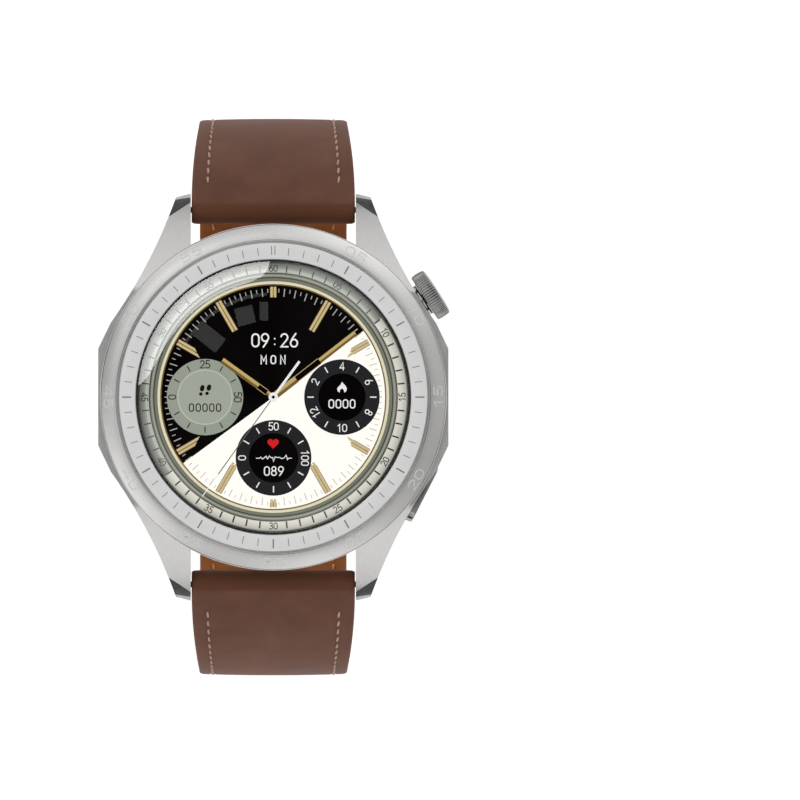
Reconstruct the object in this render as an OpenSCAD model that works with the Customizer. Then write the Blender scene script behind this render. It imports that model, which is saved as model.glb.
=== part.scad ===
// Round smartwatch on a two-piece leather strap.
// Frame: +Z out of the dial, +Y to 12 o'clock, +X to 3 o'clock, the side of the crown.
// Origin: centre of the flat back crystal, where the watch sits on a wrist.
// The two strap pieces are unbuckled, so that each one swings on its spring bar.

/* [Case] */
// Width of the case across its flats at 3 and 9 o'clock
case_w = 46.7; // [46.3:0.1:48]
// Distance between the lugs, which is the strap's nominal width
lug_gap = 22.06; // [21.9:0.02:22.2]
// Distance from the dial's centre to a lug's tip
lug_reach = 27.2; // [27:0.1:28]
// Height of the back crystal's flat face to the case's top plane
case_top = 8.2; // [8.2:0.1:8.6]
// Outer radius of the round bezel
bezel_r = 23.1; // [22.9:0.05:23.2]
// Radius of the cover glass
glass_r = 18.1; // [17.9:0.05:18.2]

/* [Controls] */
// Direction of the crown, anticlockwise from 3 o'clock
crown_angle = 33; // [30:1:36]
// Radius of the crown's knob
crown_r = 3.4; // [3:0.05:3.4]
// Number of flutes around the crown
crown_flutes = 60; // [24:1:64]
// Length of the side button along the flank
button_len = 8.2; // [7:0.1:8.4]
// Travel of the crown and of the side button when pressed
press_travel = 0.4; // [0.3:0.05:0.4]

/* [Strap] */
// Width of the strap between the lugs
strap_w = 21.8; // [21.6:0.1:21.8]
// Width of the strap beyond the bend at its side
strap_end_w = 19.8; // [19.4:0.1:20.6]
// Length of the buckle piece, spring bar to buckle bar
short_len = 70; // [68:1:71]
// Length of the holed piece, spring bar to tip
long_len = 112; // [108:1:114]
// Thickness of one layer of leather
leather_t = 1.0; // [0.9:0.05:1.0]
// Number of adjustment holes
hole_count = 7; // [5:1:8]

/* [Hidden] */
$fn = 96;
eps = 0.01;

steel = "silver";
dark = [0.12, 0.12, 0.13];
brown = [0.32, 0.2, 0.15];
amber = [0.55, 0.3, 0.15];
green = [0.1, 0.3, 0.18];
gold = [0.8, 0.62, 0.3];

// Case levels, measured up from the back crystal's flat face
case_bottom = 1.6;
back_seat_z = 2.6;
body_r = 22.7;
cavity_r = 18.4;
corner_y = 6.45;
lug_outer_x = 13.0;
lug_outer_y = lug_reach - 0.5;
flank_sag = 0.68;
shoulder = [21.7, 9.9];
side_z = (case_bottom + case_top) / 2;

// Back of each lug: an arc about an axis along X
lug_arc_r = 33;
lug_arc_y = 8.27;
lug_arc_z = case_top - 32.5;

// Bezel, minute ring and glass
bezel_top = case_top + 1.52;
spigot_r = 19.0;
ring_in = 18.32;
ring_out = 20.6;
ring_seat = case_top + 0.7;
ring_top = case_top + 1.42;
glass_bottom = case_top + 1.3;
glass_top = case_top + 2.4;
glass_flat_r = 15.2;
glass_drop = 0.65;

// Back of the watch
crystal_r = 14.1;
crystal_flat_r = 12.4;
crystal_t = 1.25;
ear_reach = 20.6;
ear_r = 1.5;
back_cover_r = 20.4;

// Crown stack, as distances from the dial's centre along the crown's axis
stem_r = 0.7;
stem_in = 15.6;
knob_in = 24.05;
knob_out = 26.1;
tube_flange = 24.0;

// Side button, in a frame turned to the flank's normal
flank_angle = atan2(case_w / 2 - lug_outer_x, lug_outer_y - corner_y);
button_shift = -2.45;
button_out = 24.05;
button_in = 22.35;
button_h = 2.8;
stem_gap = 2.6;

// Spring bars
bar_y = 25.0;
bar_z = 1.7;
bar_r = 0.8;
bar_bore = 0.6;
bar_half = 10.6;
pin_r = 0.4;
pin_reach = 11.9;
release_travel = 1.2;
knob_x = -6.5;

// Strap path: heading is the angle below the horizontal, growing as the strap curls down
start_heading = 39.5;
bend_r = 30;
tail_bend_r = 54;
lug_t = 3.8;
strap_t = 2.4;
barrel_t = 3.7;
taper_len = 30;
wrap_len = 6;
station_step = 2;
tip_len = 11;
hole_pitch = 6.5;
hole_r = 1.0;

// Buckle, in a frame at the buckle bar: Y along the strap, Z to its outer side
buckle_bar_r = 0.75;
frame_len = 15;
frame_arm_in = 10.7;
frame_arm_t = 1.3;
plate_len = 4.6;
plate_t = 1.5;
tongue_w = 2.8;

// Keepers, each a loop round the strap that follows its bend
keeper_len = 4;
keeper_band = 0.8;
fixed_keeper_s = 60;
sliding_keeper_s = 49;

// ---------------------------------------------------------------- helpers

module four_corners() {
    for (mx = [0, 1], my = [0, 1]) mirror([mx, 0, 0]) mirror([0, my, 0]) children();
}

// Local Z runs outward along a radius of the case, at the height of its side
module radial(angle) {
    rotate([0, 0, angle]) translate([0, 0, side_z]) rotate([0, 90, 0]) children();
}

module radial_disc(angle, r, from, to) {
    radial(angle) translate([0, 0, from]) cylinder(r = r, h = to - from);
}

module ring(r_out, r_in, from, to) {
    difference() {
        translate([0, 0, from]) cylinder(r = r_out, h = to - from);
        translate([0, 0, from - eps]) cylinder(r = r_in, h = to - from + 2 * eps);
    }
}

module box(size, at) {
    translate(at) cube(size, center = true);
}

// A slab with half-round ends, its long side along X
module stadium(len, width, h) {
    linear_extrude(h) union() {
        square([len - width, width], center = true);
        for (side = [-1, 1]) translate([side * (len - width) / 2, 0]) circle(d = width);
    }
}

// ---------------------------------------------------------------- case

// Plan of one quarter of the case, from its side flat to the lug's tip
module quarter_plan() {
    polygon([
        [0, -1], [case_w / 2, -1], [case_w / 2, corner_y], shoulder, [lug_outer_x, lug_outer_y],
        [lug_gap / 2, lug_reach], [lug_gap / 2, 12], [0, 12]
    ]);
}

// The flank is slightly hollow from its shoulder to the lug's tip: a wide arc through both
module flank_hollow() {
    a = shoulder;
    b = [lug_outer_x, lug_outer_y];
    chord = norm(b - a);
    hollow_r = (chord * chord / 4 + flank_sag * flank_sag) / (2 * flank_sag);
    out = [b[1] - a[1], a[0] - b[0]] / chord;
    centre = (a + b) / 2 + out * (hollow_r - flank_sag);
    translate([centre[0], centre[1], -2]) cylinder(r = hollow_r, h = case_top + 4);
}

// A wedge that bevels a lug's tip, through a point on its inner edge
module tip_bevel(y, z, lean, slant) {
    translate([lug_gap / 2, y, z]) rotate([0, 0, -slant]) rotate([lean, 0, 0])
        translate([-10, 0, -10]) cube([30, 10, 20]);
}

module side_profile() {
    rotate([90, 0, 90]) linear_extrude(60, center = true)
        polygon([
            [-2, case_bottom], [19, case_bottom], [24, -0.4], [26.6, -0.4],
            [28, 0.6], [28, 12], [-2, 12]
        ]);
}

module case_quarter() {
    difference() {
        intersection() {
            translate([0, 0, -1]) linear_extrude(case_top + 1) quarter_plan();
            side_profile();
            union() {
                translate([0, lug_arc_y, lug_arc_z]) rotate([0, 90, 0])
                    cylinder(r = lug_arc_r, h = 80, center = true);
                translate([-1, -2, -2]) cube([40, 16, 12]);
            }
        }
        flank_hollow();
        tip_bevel(25.95, 3.65, 27, 24);
        tip_bevel(26.75, 2.0, 12, 15);
        under_bevel(case_w / 2, 0, 20, 0);
        under_bevel(case_w / 2 * cos(flank_angle) + corner_y * sin(flank_angle) - 0.3, 2, 14, flank_angle);
    }
}

// Bevels the lower edge of a side that stands at this distance, facing this way
module under_bevel(distance, shift, length, angle) {
    rotate([0, 0, angle]) translate([distance, shift, case_bottom]) rotate([0, 45, 0])
        cube([2.4, length, 2.4], center = true);
}

module ear_discs(r, from, to) {
    four_corners() rotate([0, 0, 45]) translate([ear_reach, 0, from]) cylinder(r = r, h = to - from);
}

module mid_case() {
    color(steel) difference() {
        union() {
            rotate_extrude() polygon([
                [0, case_bottom], [21.5, case_bottom], [body_r, case_bottom + 1.4],
                [body_r, case_top], [0, case_top]
            ]);
            four_corners() case_quarter();
        }
        // room for the works, the bezel's spigot and the back cover
        translate([0, 0, 0]) cylinder(r = cavity_r, h = 12);
        translate([0, 0, case_top - 0.85]) cylinder(r = spigot_r + 0.02, h = 4);
        translate([0, 0, case_bottom - 3]) cylinder(r = back_cover_r + 0.03, h = 4);
        ear_discs(ear_r + 0.03, case_bottom - 3, back_seat_z);
        translate([0, 0, back_seat_z]) rotate_extrude() translate([19.0, 0]) square([0.9, 0.9], center = true);
        four_corners() rotate([0, 0, 45]) translate([ear_reach, 0, back_seat_z - 1])
            cylinder(r = 0.6, h = 3.6);
        // spring bar holes in the lugs
        for (my = [0, 1]) mirror([0, my, 0]) translate([0, bar_y, bar_z]) rotate([0, 90, 0])
            cylinder(r = pin_r + 0.05, h = 2 * 12.2, center = true);
        // crown tube and its spot face
        radial_disc(crown_angle, 1.35, 15, 27);
        radial_disc(crown_angle, 2.25, 23.35, 27);
        radial_disc(crown_angle, crown_r + 0.2, 23.5, 27);
        // side button
        radial(-flank_angle) translate([0, button_shift, 21.85]) rotate([0, 0, 90])
            stadium(button_len + 0.3, button_h + 0.3, 4);
        for (side = [-1, 1]) radial(-flank_angle) translate([0, button_shift + side * stem_gap, 15])
            cylinder(r = 0.55, h = 8);
        // speaker slots and microphone hole in the 9 o'clock side
        for (i = [-1, 0, 1]) translate([-15, i * 3.2, side_z]) rotate([0, -90, 0]) rotate([0, 0, 90])
            stadium(2.4, 0.9, 12);
        translate([-15, 5.6, side_z]) rotate([0, -90, 0]) cylinder(r = 0.4, h = 12);
    }
}

module bezel_ring() {
    color(steel) rotate_extrude() polygon([
        [ring_in, case_top - 0.8], [spigot_r, case_top - 0.8], [spigot_r, case_top],
        [bezel_r - 0.3, case_top], [bezel_r, case_top + 0.3], [bezel_r, case_top + 0.88],
        [bezel_r - 0.14, case_top + 1.02], [ring_out + 0.42, bezel_top], [ring_out + 0.32, bezel_top],
        [ring_out + 0.12, bezel_top - 0.35], [ring_out + 0.02, bezel_top - 0.35], [ring_out + 0.02, ring_seat],
        [ring_in, ring_seat]
    ]);
}

module minute_ring() {
    color([0.86, 0.86, 0.87]) difference() {
        rotate_extrude() polygon([
            [ring_in, ring_seat], [ring_out, ring_seat], [ring_out, ring_top - 0.12],
            [ring_out - 0.12, ring_top], [ring_in + 0.12, ring_top], [ring_in, ring_top - 0.12]
        ]);
        // a tick for each minute, wider every five
        for (m = [0:59]) rotate([0, 0, 6 * m])
            box([1.1, m % 5 == 0 ? 0.22 : 0.1, 0.12], [19.5, 0, ring_top]);
    }
}

module cover_glass() {
    edge_w = glass_r - glass_flat_r;
    dome_r = (edge_w * edge_w + glass_drop * glass_drop) / (2 * glass_drop);
    span = asin(edge_w / dome_r);
    color([0.8, 0.9, 0.95, 0.3]) rotate_extrude() polygon(concat(
        [[0, glass_bottom], [glass_r, glass_bottom]],
        [for (i = [12:-1:0]) let (a = span * i / 12)
            [glass_flat_r + dome_r * sin(a), glass_top - dome_r * (1 - cos(a))]],
        [[0, glass_top]]
    ));
}

module glass_gasket() {
    color(dark) ring(ring_in - 0.02, glass_r + 0.02, ring_seat, glass_top - glass_drop - 0.25);
}

module display_panel() {
    color([0.03, 0.03, 0.03]) translate([0, 0, case_top + 0.5])
        cylinder(r = 17.9, h = glass_bottom - case_top - 0.55);
}

module display_bracket() {
    color(dark) ring(cavity_r - 0.1, 16.6, case_top - 0.35, case_top + 0.45);
}

module display_flex() {
    color(gold) union() {
        box([5, 0.15, 1.5], [3, -15.4, case_top - 0.25]);
        box([5, 3, 0.15], [3, -14.0, case_top - 0.92]);
    }
}

module back_cover() {
    color(dark) difference() {
        union() {
            rotate_extrude() polygon([
                [12.6, crystal_t + 0.05], [crystal_r + 0.03, crystal_t + 0.05], [crystal_r + 0.03, 0.42],
                [crystal_r + 0.4, 0.32], [19.4, 1.25], [back_cover_r, case_bottom],
                [back_cover_r, back_seat_z], [12.6, back_seat_z]
            ]);
            ear_discs(ear_r, case_bottom, back_seat_z);
        }
        four_corners() rotate([0, 0, 45]) translate([ear_reach, 0, 0]) {
            cylinder(r = 0.62, h = 5);
            cylinder(r = 1.05, h = case_bottom + 0.55);
        }
    }
}

module back_crystal() {
    color([0.05, 0.05, 0.06]) rotate_extrude() polygon([
        [0, 0], [crystal_flat_r, 0], [crystal_r, 0.5], [crystal_r, crystal_t], [0, crystal_t]
    ]);
}

module back_gasket() {
    color([0.25, 0.08, 0.06]) translate([0, 0, back_seat_z + 0.22]) rotate_extrude()
        translate([19.0, 0]) circle(r = 0.22);
}

module back_screws() {
    color(steel) four_corners() rotate([0, 0, 45]) translate([ear_reach, 0, 0]) difference() {
        union() {
            translate([0, 0, case_bottom + 0.05]) cylinder(r = 0.95, h = 0.5);
            translate([0, 0, case_bottom + 0.5]) cylinder(r = 0.56, h = 2.9);
        }
        box([1.4, 0.3, 0.5], [0, 0, case_bottom + 0.05]);
    }
}

module sensor_board() {
    color(green) union() {
        translate([0, 0, 1.75]) cylinder(r = 6.8, h = 0.6);
        for (a = [0:90:270]) rotate([0, 0, a]) box([1.8, 1.8, 0.45], [4.2, 0, 1.55]);
        box([1.6, 1.6, 0.45], [0, 0, 1.55]);
    }
}

module light_shield() {
    color([0.05, 0.05, 0.05]) union() {
        ring(6.9, 6.0, 1.3, 1.74);
        ring(2.6, 1.7, 1.3, 1.74);
    }
}

module charging_coil() {
    color([0.72, 0.4, 0.2]) ring(12.0, 8.0, 1.3, 1.7);
}

module coil_ferrite() {
    color([0.2, 0.2, 0.22]) ring(12.4, 7.4, 1.75, 2.05);
}

// Floor and rim that carry the battery and the board
module chassis() {
    color([0.18, 0.18, 0.2]) difference() {
        union() {
            translate([0, 0, 2.65]) cylinder(r = cavity_r - 0.1, h = 0.5);
            ring(cavity_r - 0.1, cavity_r - 0.9, 3.1, 7.8);
        }
        rotate([0, 0, crown_angle]) box([12, 4.2, 10], [17, 0, 8.15 + 0.2]);
        rotate([0, 0, -flank_angle]) box([12, 7.8, 10], [17, button_shift, 8.15 + 0.2]);
        box([8, 12.6, 6], [-18, 0, 6.35]);
        translate([0, 0, 2]) cylinder(r = 3, h = 2);
    }
}

module battery() {
    color([0.75, 0.76, 0.78]) union() {
        box([20, 18.5, 3.1], [-1.2, 2.2, 4.8]);
        box([7, 1.2, 0.8], [-1.2, 11.9, 5.6]);
    }
}

module main_board() {
    color(green) difference() {
        translate([0, 0, 6.5]) cylinder(r = 17.3, h = 0.7);
        for (a = board_screw_angles) rotate([0, 0, a]) translate([15.4, 0, 6]) cylinder(r = 0.62, h = 2);
    }
}

board_screw_angles = [75, 215, 300];

module board_screws() {
    color(steel) for (a = board_screw_angles) rotate([0, 0, a]) translate([15.4, 0, 0]) union() {
        translate([0, 0, 7.2]) cylinder(r = 1.0, h = 0.4);
        translate([0, 0, 5.6]) cylinder(r = 0.55, h = 1.7);
    }
}

module shield_cans() {
    color([0.7, 0.71, 0.73]) union() {
        box([12, 9, 1.1], [-3, 4, 7.75]);
        box([7, 7, 0.9], [7.5, -4.5, 7.65]);
        box([6, 4, 0.8], [-7, -6, 7.6]);
    }
}

module speaker() {
    color(dark) box([2.6, 11, 3], [-15.6, 0, side_z]);
}

module speaker_mesh() {
    color([0.3, 0.3, 0.32]) box([0.2, 9.4, 1.6], [-17.0, 0, side_z]);
}

module microphone() {
    color([0.8, 0.7, 0.4]) box([1.8, 2.4, 1], [-12.6, 9.0, 6.0]);
}

// Coin motor that shakes the watch: a can, a fixed shaft and an off-centre weight
motor_at = [-5.2, -11.9];

module motor_can() {
    color([0.72, 0.73, 0.75]) translate([motor_at[0], motor_at[1], 3.16]) difference() {
        cylinder(r = 4.2, h = 2.7);
        translate([0, 0, 0.2]) cylinder(r = 3.95, h = 2.3);
    }
}

module motor_shaft() {
    color(steel) translate([motor_at[0], motor_at[1], 3.36]) cylinder(r = 0.35, h = 2.3);
}

module motor_weight() {
    color([0.45, 0.45, 0.48]) translate([motor_at[0], motor_at[1], 3.66]) difference() {
        union() {
            cylinder(r = 1.1, h = 1.6);
            intersection() {
                cylinder(r = 3.7, h = 1.6);
                translate([-4, 0, 0]) cube([8, 4, 2]);
            }
        }
        translate([0, 0, -1]) cylinder(r = 0.4, h = 4);
    }
}

// ---------------------------------------------------------------- crown and button

module crown_tube() {
    color(steel) difference() {
        union() {
            radial_disc(crown_angle, 1.33, 18.0, 23.5);
            radial_disc(crown_angle, 2.2, 23.35, tube_flange);
        }
        radial_disc(crown_angle, stem_r + 0.05, 17, 25);
        radial_disc(crown_angle, 1.2, 23.3, 25);
    }
}

module crown_switch() {
    color(dark) union() {
        rotate([0, 0, crown_angle]) box([0.8, 4, 2.6], [14.0, 0, side_z]);
        radial_disc(crown_angle, 0.8, 14.4, 14.6);
    }
}

module crown_pusher() {
    color([0.9, 0.9, 0.88]) radial_disc(crown_angle, 1.0, 15.1, stem_in - 0.02);
}

module crown_stem() {
    color(steel) difference() {
        radial_disc(crown_angle, stem_r, stem_in, 25.0);
        radial(crown_angle) ring(1, 0.45, 17.55, 17.9);
    }
}

module crown_clip() {
    color(steel) difference() {
        radial_disc(crown_angle, 1.35, 17.58, 17.88);
        radial_disc(crown_angle, 0.46, 17, 18.5);
        radial(crown_angle) box([0.9, 3, 2], [0, 1.5, 17.7]);
    }
}

module crown_encoder() {
    color([0.75, 0.65, 0.4]) difference() {
        radial_disc(crown_angle, 1.25, 15.8, 17.2);
        radial_disc(crown_angle, stem_r, 15, 18);
        for (a = [0:30:330]) radial(crown_angle) rotate([0, 0, a]) box([0.3, 0.25, 1.6], [1.25, 0, 16.5]);
    }
}

module crown_seal() {
    color(dark) radial(crown_angle) translate([0, 0, 23.6]) rotate_extrude()
        translate([stem_r + 0.24, 0]) circle(r = 0.235);
}

module crown_knob() {
    color(steel) difference() {
        radial(crown_angle) rotate_extrude() polygon([
            [0, knob_in + 0.5], [2.45, knob_in + 0.5], [2.45, knob_in], [crown_r - 0.3, knob_in],
            [crown_r, knob_in + 0.3], [crown_r, knob_out - 0.45], [crown_r - 0.45, knob_out],
            [2.3, knob_out], [2.3, knob_out - 0.25], [0, knob_out - 0.25]
        ]);
        radial_disc(crown_angle, stem_r, 24, 25.0);
        for (i = [0:crown_flutes - 1]) radial(crown_angle) rotate([0, 0, i * 360 / crown_flutes])
            translate([crown_r + 0.04, 0, 23]) cylinder(r = 0.15, h = 4);
    }
}

module crown_cap() {
    color([0.82, 0.82, 0.84]) radial(crown_angle) rotate_extrude() polygon([
        [0, knob_out - 0.25], [2.28, knob_out - 0.25], [2.28, knob_out], [2.0, knob_out + 0.12], [0, knob_out + 0.12]
    ]);
}

module side_button() {
    color(steel) radial(-flank_angle) translate([0, button_shift, button_in]) rotate([0, 0, 90])
        stadium(button_len, button_h, button_out - button_in);
}

module button_stems() {
    color(steel) for (side = [-1, 1]) radial(-flank_angle)
        translate([0, button_shift + side * stem_gap, 17.18]) cylinder(r = 0.5, h = button_in - 17.18);
}

module button_clips() {
    color(steel) for (side = [-1, 1]) radial(-flank_angle)
        translate([0, button_shift + side * stem_gap, 0]) ring(0.85, 0.5, 17.2, 17.4);
}

module button_yoke() {
    color([0.7, 0.7, 0.72]) radial(-flank_angle) box([1.8, 7, 0.3], [0, button_shift, 17.03]);
}

module button_switch() {
    color(dark) radial(-flank_angle) union() {
        box([2.6, 4.4, 0.6], [0, button_shift, 16.0]);
        translate([0, button_shift, 16.3]) cylinder(r = 0.7, h = 0.16);
    }
}

// ---------------------------------------------------------------- strap path

// A path is a list of arcs, each [radius, length]; a place on it is [y, z, heading]
short_path = [[bend_r, short_len]];
side_len = bend_r * (90 - start_heading) * PI / 180;
long_path = [[bend_r, side_len], [tail_bend_r, long_len - side_len]];

function turned(p, r, s) =
    let (h = p[2], g = h + s / r * 180 / PI)
    [p[0] + r * (sin(g) - sin(h)), p[1] + r * (cos(g) - cos(h)), g];

function along(path, s, p = [bar_y, bar_z, start_heading], i = 0) =
    s <= path[i][1] || i == len(path) - 1
        ? turned(p, path[i][0], s)
        : along(path, s - path[i][1], turned(p, path[i][0], path[i][1]), i + 1);

function bump(x) = x <= 0 ? 0 : x >= 1 ? 1 : x * x * (3 - 2 * x);

// Thickness of the whole strap: full at the lugs, thin beyond, round again at the buckle bar
function thick(s, short) =
    strap_t + (lug_t - strap_t) * pow(max(0, 1 - s / taper_len), 1.3)
        + (short ? (barrel_t - strap_t) * bump((s - short_len + 5) / 4) : 0);

// Half width: narrows as the strap bends over, and to a rounded point on the holed piece
function half_w(s, short) =
    let (w = strap_end_w / 2 + (strap_w - strap_end_w) / 2 * (1 - bump(s / 24)),
         x = short ? 0 : max(0, (s - long_len + tip_len) / tip_len))
    w * pow(max(0.02, 1 - pow(x, 2.2)), 1 / 2.2);

// Station on the path, moved out from the centre line: [y, z, normal y, normal z, half width]
function station(path, short, s, off) =
    let (p = along(path, s))
    [p[0] + off * sin(p[2]), p[1] + off * cos(p[2]), sin(p[2]), cos(p[2]), half_w(s, short)];

function steps(from, to) =
    let (n = ceil(abs(to - from) / station_step)) [for (i = [0:n]) from + (to - from) * i / n];

// Stations that wrap half round a bar at the path's place s, from one face to the other
function wrap(path, short, s, r, start_a, end_a) =
    let (p = along(path, s))
    [for (i = [1:7]) let (a = start_a + (end_a - start_a) * i / 8, g = p[2] + a)
        [p[0] + r * sin(g), p[1] + r * cos(g), sin(g), cos(g), half_w(s, short)]];

// A band of even thickness through its stations, as wide as each one says
module band(stations, t) {
    n = len(stations);
    points = [for (q = stations) for (c = [[-1, -1], [1, -1], [1, 1], [-1, 1]])
        [c[0] * q[4], q[0] + c[1] * q[2] * t / 2, q[1] + c[1] * q[3] * t / 2]];
    sides = [for (i = [0:n - 2]) for (k = [0:3])
        let (a = 4 * i + k, b = 4 * i + (k + 1) % 4)
        each [[a, b, b + 4], [a, b + 4, a + 4]]];
    ends = [[3, 2, 1], [3, 1, 0],
        [4 * n - 4, 4 * n - 3, 4 * n - 2], [4 * n - 4, 4 * n - 2, 4 * n - 1]];
    polyhedron(points = points, faces = [for (f = concat(sides, ends)) [f[2], f[1], f[0]]], convexity = 8);
}

// Outer leather: from under the spring bar, round it, along the outside, and on the
// buckle piece round the buckle bar and back under
module top_leather(path, short) {
    length = short ? short_len : long_len;
    function off(s) = (thick(s, short) - leather_t) / 2;
    under = [for (s = steps(wrap_len, 0)) station(path, short, s, -off(s))];
    flip = [for (q = under) [q[0], q[1], -q[2], -q[3], q[4]]];
    over = [for (s = steps(0, length)) station(path, short, s, off(s))];
    back = [for (s = steps(length, length - wrap_len)) station(path, short, s, -off(s))];
    flip_back = [for (q = back) [q[0], q[1], -q[2], -q[3], q[4]]];
    band(concat(flip, wrap(path, short, 0, off(0), -180, 0), over,
        short ? wrap(path, short, length, off(length), 0, 180) : [],
        short ? flip_back : []), leather_t);
}

module lining(path, short) {
    end = short ? short_len - wrap_len : long_len;
    band([for (s = steps(wrap_len, end))
        station(path, short, s, -(thick(s, short) - leather_t) / 2)], leather_t);
}

// Filler between the leathers, as thick as what they leave
module core(path, short) {
    stop = short ? short_len - station_step : long_len - 2 * station_step;
    list = steps(station_step, stop);
    n = len(list);
    quads = [for (s = list) let (p = along(path, s), h = thick(s, short) / 2 - leather_t - 2 * eps,
            w = half_w(s, short) - 0.6)
        for (c = [[-1, -1], [1, -1], [1, 1], [-1, 1]])
        [c[0] * w, p[0] + c[1] * h * sin(p[2]), p[1] + c[1] * h * cos(p[2])]];
    sides = [for (i = [0:n - 2]) for (k = [0:3])
        let (a = 4 * i + k, b = 4 * i + (k + 1) % 4)
        each [[a, b + 4, b], [a, a + 4, b + 4]]];
    ends = [[1, 2, 3], [0, 1, 3],
        [4 * n - 2, 4 * n - 3, 4 * n - 4], [4 * n - 1, 4 * n - 2, 4 * n - 4]];
    polyhedron(points = quads, faces = concat(sides, ends), convexity = 8);
}

// Local Y along the strap and Z to its outer side, at the path's place s
module on_path(path, s) {
    p = along(path, s);
    translate([0, p[0], p[1]]) rotate([-p[2], 0, 0]) children();
}

module six_side() {
    mirror([0, 1, 0]) children();
}

// ---------------------------------------------------------------- strap pieces

module release_slot() {
    on_path(short_path, 0) box([2 * pin_r + 2.6, 1.5, 3], [knob_x + release_travel / 2, 0, -1.9]);
}

module strap_12_top() {
    color(brown) difference() {
        top_leather(short_path, true);
        release_slot();
        on_path(short_path, short_len) box([tongue_w + 0.5, 9, 6], [0, 1.2, 0]);
    }
}

module strap_12_core() {
    color([0.6, 0.5, 0.4]) difference() {
        core(short_path, true);
        on_path(short_path, short_len) box([tongue_w + 0.5, 9, 6], [0, 1.2, 0]);
    }
}

module strap_12_lining() {
    color(amber) lining(short_path, true);
}

module tail_holes() {
    for (i = [0:hole_count - 1]) on_path(long_path, long_len - 17 - i * hole_pitch)
        rotate([0, 0, 7.5]) cylinder(r = hole_r, h = 6, center = true, $fn = 24);
}

module strap_6_top() {
    color(brown) six_side() difference() {
        top_leather(long_path, false);
        release_slot();
        tail_holes();
    }
}

module strap_6_core() {
    color([0.6, 0.5, 0.4]) six_side() difference() {
        core(long_path, false);
        tail_holes();
    }
}

module strap_6_lining() {
    color(amber) six_side() difference() {
        lining(long_path, false);
        tail_holes();
    }
}

// Spring bar: a tube with one fixed tip, and a slot for the release knob
module spring_bar() {
    on_path(short_path, 0) rotate([0, 90, 0]) difference() {
        union() {
            translate([0, 0, -bar_half]) cylinder(r = bar_r, h = 2 * bar_half);
            translate([0, 0, bar_half]) cylinder(r = pin_r, h = pin_reach - bar_half);
        }
        translate([0, 0, -bar_half - 1]) cylinder(r = bar_bore, h = bar_half + 3);
        box([2, 1.0, 2.6], [1, 0, knob_x + release_travel / 2]);
    }
}

// Sprung tip with the knob that a fingernail slides
module release_pin() {
    on_path(short_path, 0) union() {
        rotate([0, 90, 0]) translate([0, 0, -bar_half]) cylinder(r = bar_bore - 0.05, h = bar_half + knob_x + 0.5);
        rotate([0, 90, 0]) translate([0, 0, -pin_reach]) cylinder(r = pin_r, h = pin_reach - bar_half + 0.5);
        translate([knob_x, 0, -2.5]) cylinder(r = 0.42, h = 2.3);
    }
}

// Coil spring behind the sprung tip
module release_spring() {
    turns = 7;
    from = knob_x + 0.55;
    span = 1.95 - from;
    coil_r = 0.42;
    wire_r = 0.09;
    sections = 12 * turns;
    corners = 6;
    points = [for (i = [0:sections]) let (a = i * 30, x = from + wire_r + (span - 2 * wire_r) * i / sections)
        for (k = [0:corners - 1]) let (b = k * 360 / corners, r = coil_r + wire_r * cos(b))
        [x + wire_r * sin(b), r * cos(a), r * sin(a)]];
    sides = [for (i = [0:sections - 1]) for (k = [0:corners - 1])
        let (a = corners * i + k, b = corners * i + (k + 1) % corners)
        each [[a, b, b + corners], [a, b + corners, a + corners]]];
    last = corners * sections;
    ends = [[for (k = [corners - 1:-1:0]) k], [for (k = [0:corners - 1]) last + k]];
    on_path(short_path, 0) polyhedron(points = points, faces = concat(sides, ends), convexity = 10);
}

module spring_bar_12() { color(steel) spring_bar(); }
module release_pin_12() { color(steel) release_pin(); }
module release_spring_12() { color(steel) release_spring(); }
module spring_bar_6() { color(steel) six_side() spring_bar(); }
module release_pin_6() { color(steel) six_side() release_pin(); }
module release_spring_6() { color(steel) six_side() release_spring(); }

// A loop of leather round the strap, turned about the centre of the strap's bend
module keeper(s) {
    low = bend_r - strap_t / 2 - 0.15;
    high = bend_r + strap_t * 1.5 + 0.1;
    half = strap_end_w / 2 + 0.05;
    p = along(short_path, s);
    centre_y = bar_y - bend_r * sin(start_heading);
    centre_z = bar_z - bend_r * cos(start_heading);
    sweep = keeper_len / bend_r * 180 / PI;
    translate([0, centre_y, centre_z]) rotate([90 - p[2], 0, 0]) rotate([0, 90, 0]) rotate([0, 0, 90])
        rotate([0, 0, -sweep]) rotate_extrude(angle = sweep) difference() {
            translate([low - keeper_band, -half - keeper_band])
                square([high - low + 2 * keeper_band, 2 * (half + keeper_band)]);
            translate([low, -half]) square([high - low, 2 * half]);
        }
}

module fixed_keeper() {
    color(brown) keeper(fixed_keeper_s);
}

module sliding_keeper() {
    color(brown) keeper(sliding_keeper_s);
}

module on_buckle() {
    on_path(short_path, short_len) children();
}

module buckle_bar() {
    color(steel) on_buckle() rotate([0, 90, 0]) union() {
        cylinder(r = buckle_bar_r, h = 2 * (frame_arm_in - 0.15), center = true);
        cylinder(r = 0.5, h = 2 * (frame_arm_in + frame_arm_t - 0.3), center = true);
    }
}

module buckle_frame() {
    half = frame_arm_in + frame_arm_t;
    color([0.78, 0.78, 0.8]) on_buckle() difference() {
        union() {
            for (side = [-1, 1]) {
                translate([side * (frame_arm_in + frame_arm_t / 2), 0, 0]) rotate([0, 90, 0])
                    cylinder(r = 1.35, h = frame_arm_t, center = true);
                box([frame_arm_t, frame_len - 1.5, 1.9], [side * (frame_arm_in + frame_arm_t / 2), (frame_len - 1.5) / 2, 0.2]);
            }
            translate([0, frame_len - plate_len / 2, 0.2 + (1.9 - plate_t) / 2]) intersection() {
                cube([2 * half, plate_len, plate_t], center = true);
                translate([0, plate_len / 2 - 12, 0]) cylinder(r = 16.3, h = 4, center = true);
            }
        }
        rotate([0, 90, 0]) cylinder(r = 0.55, h = 40, center = true);
    }
}

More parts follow.
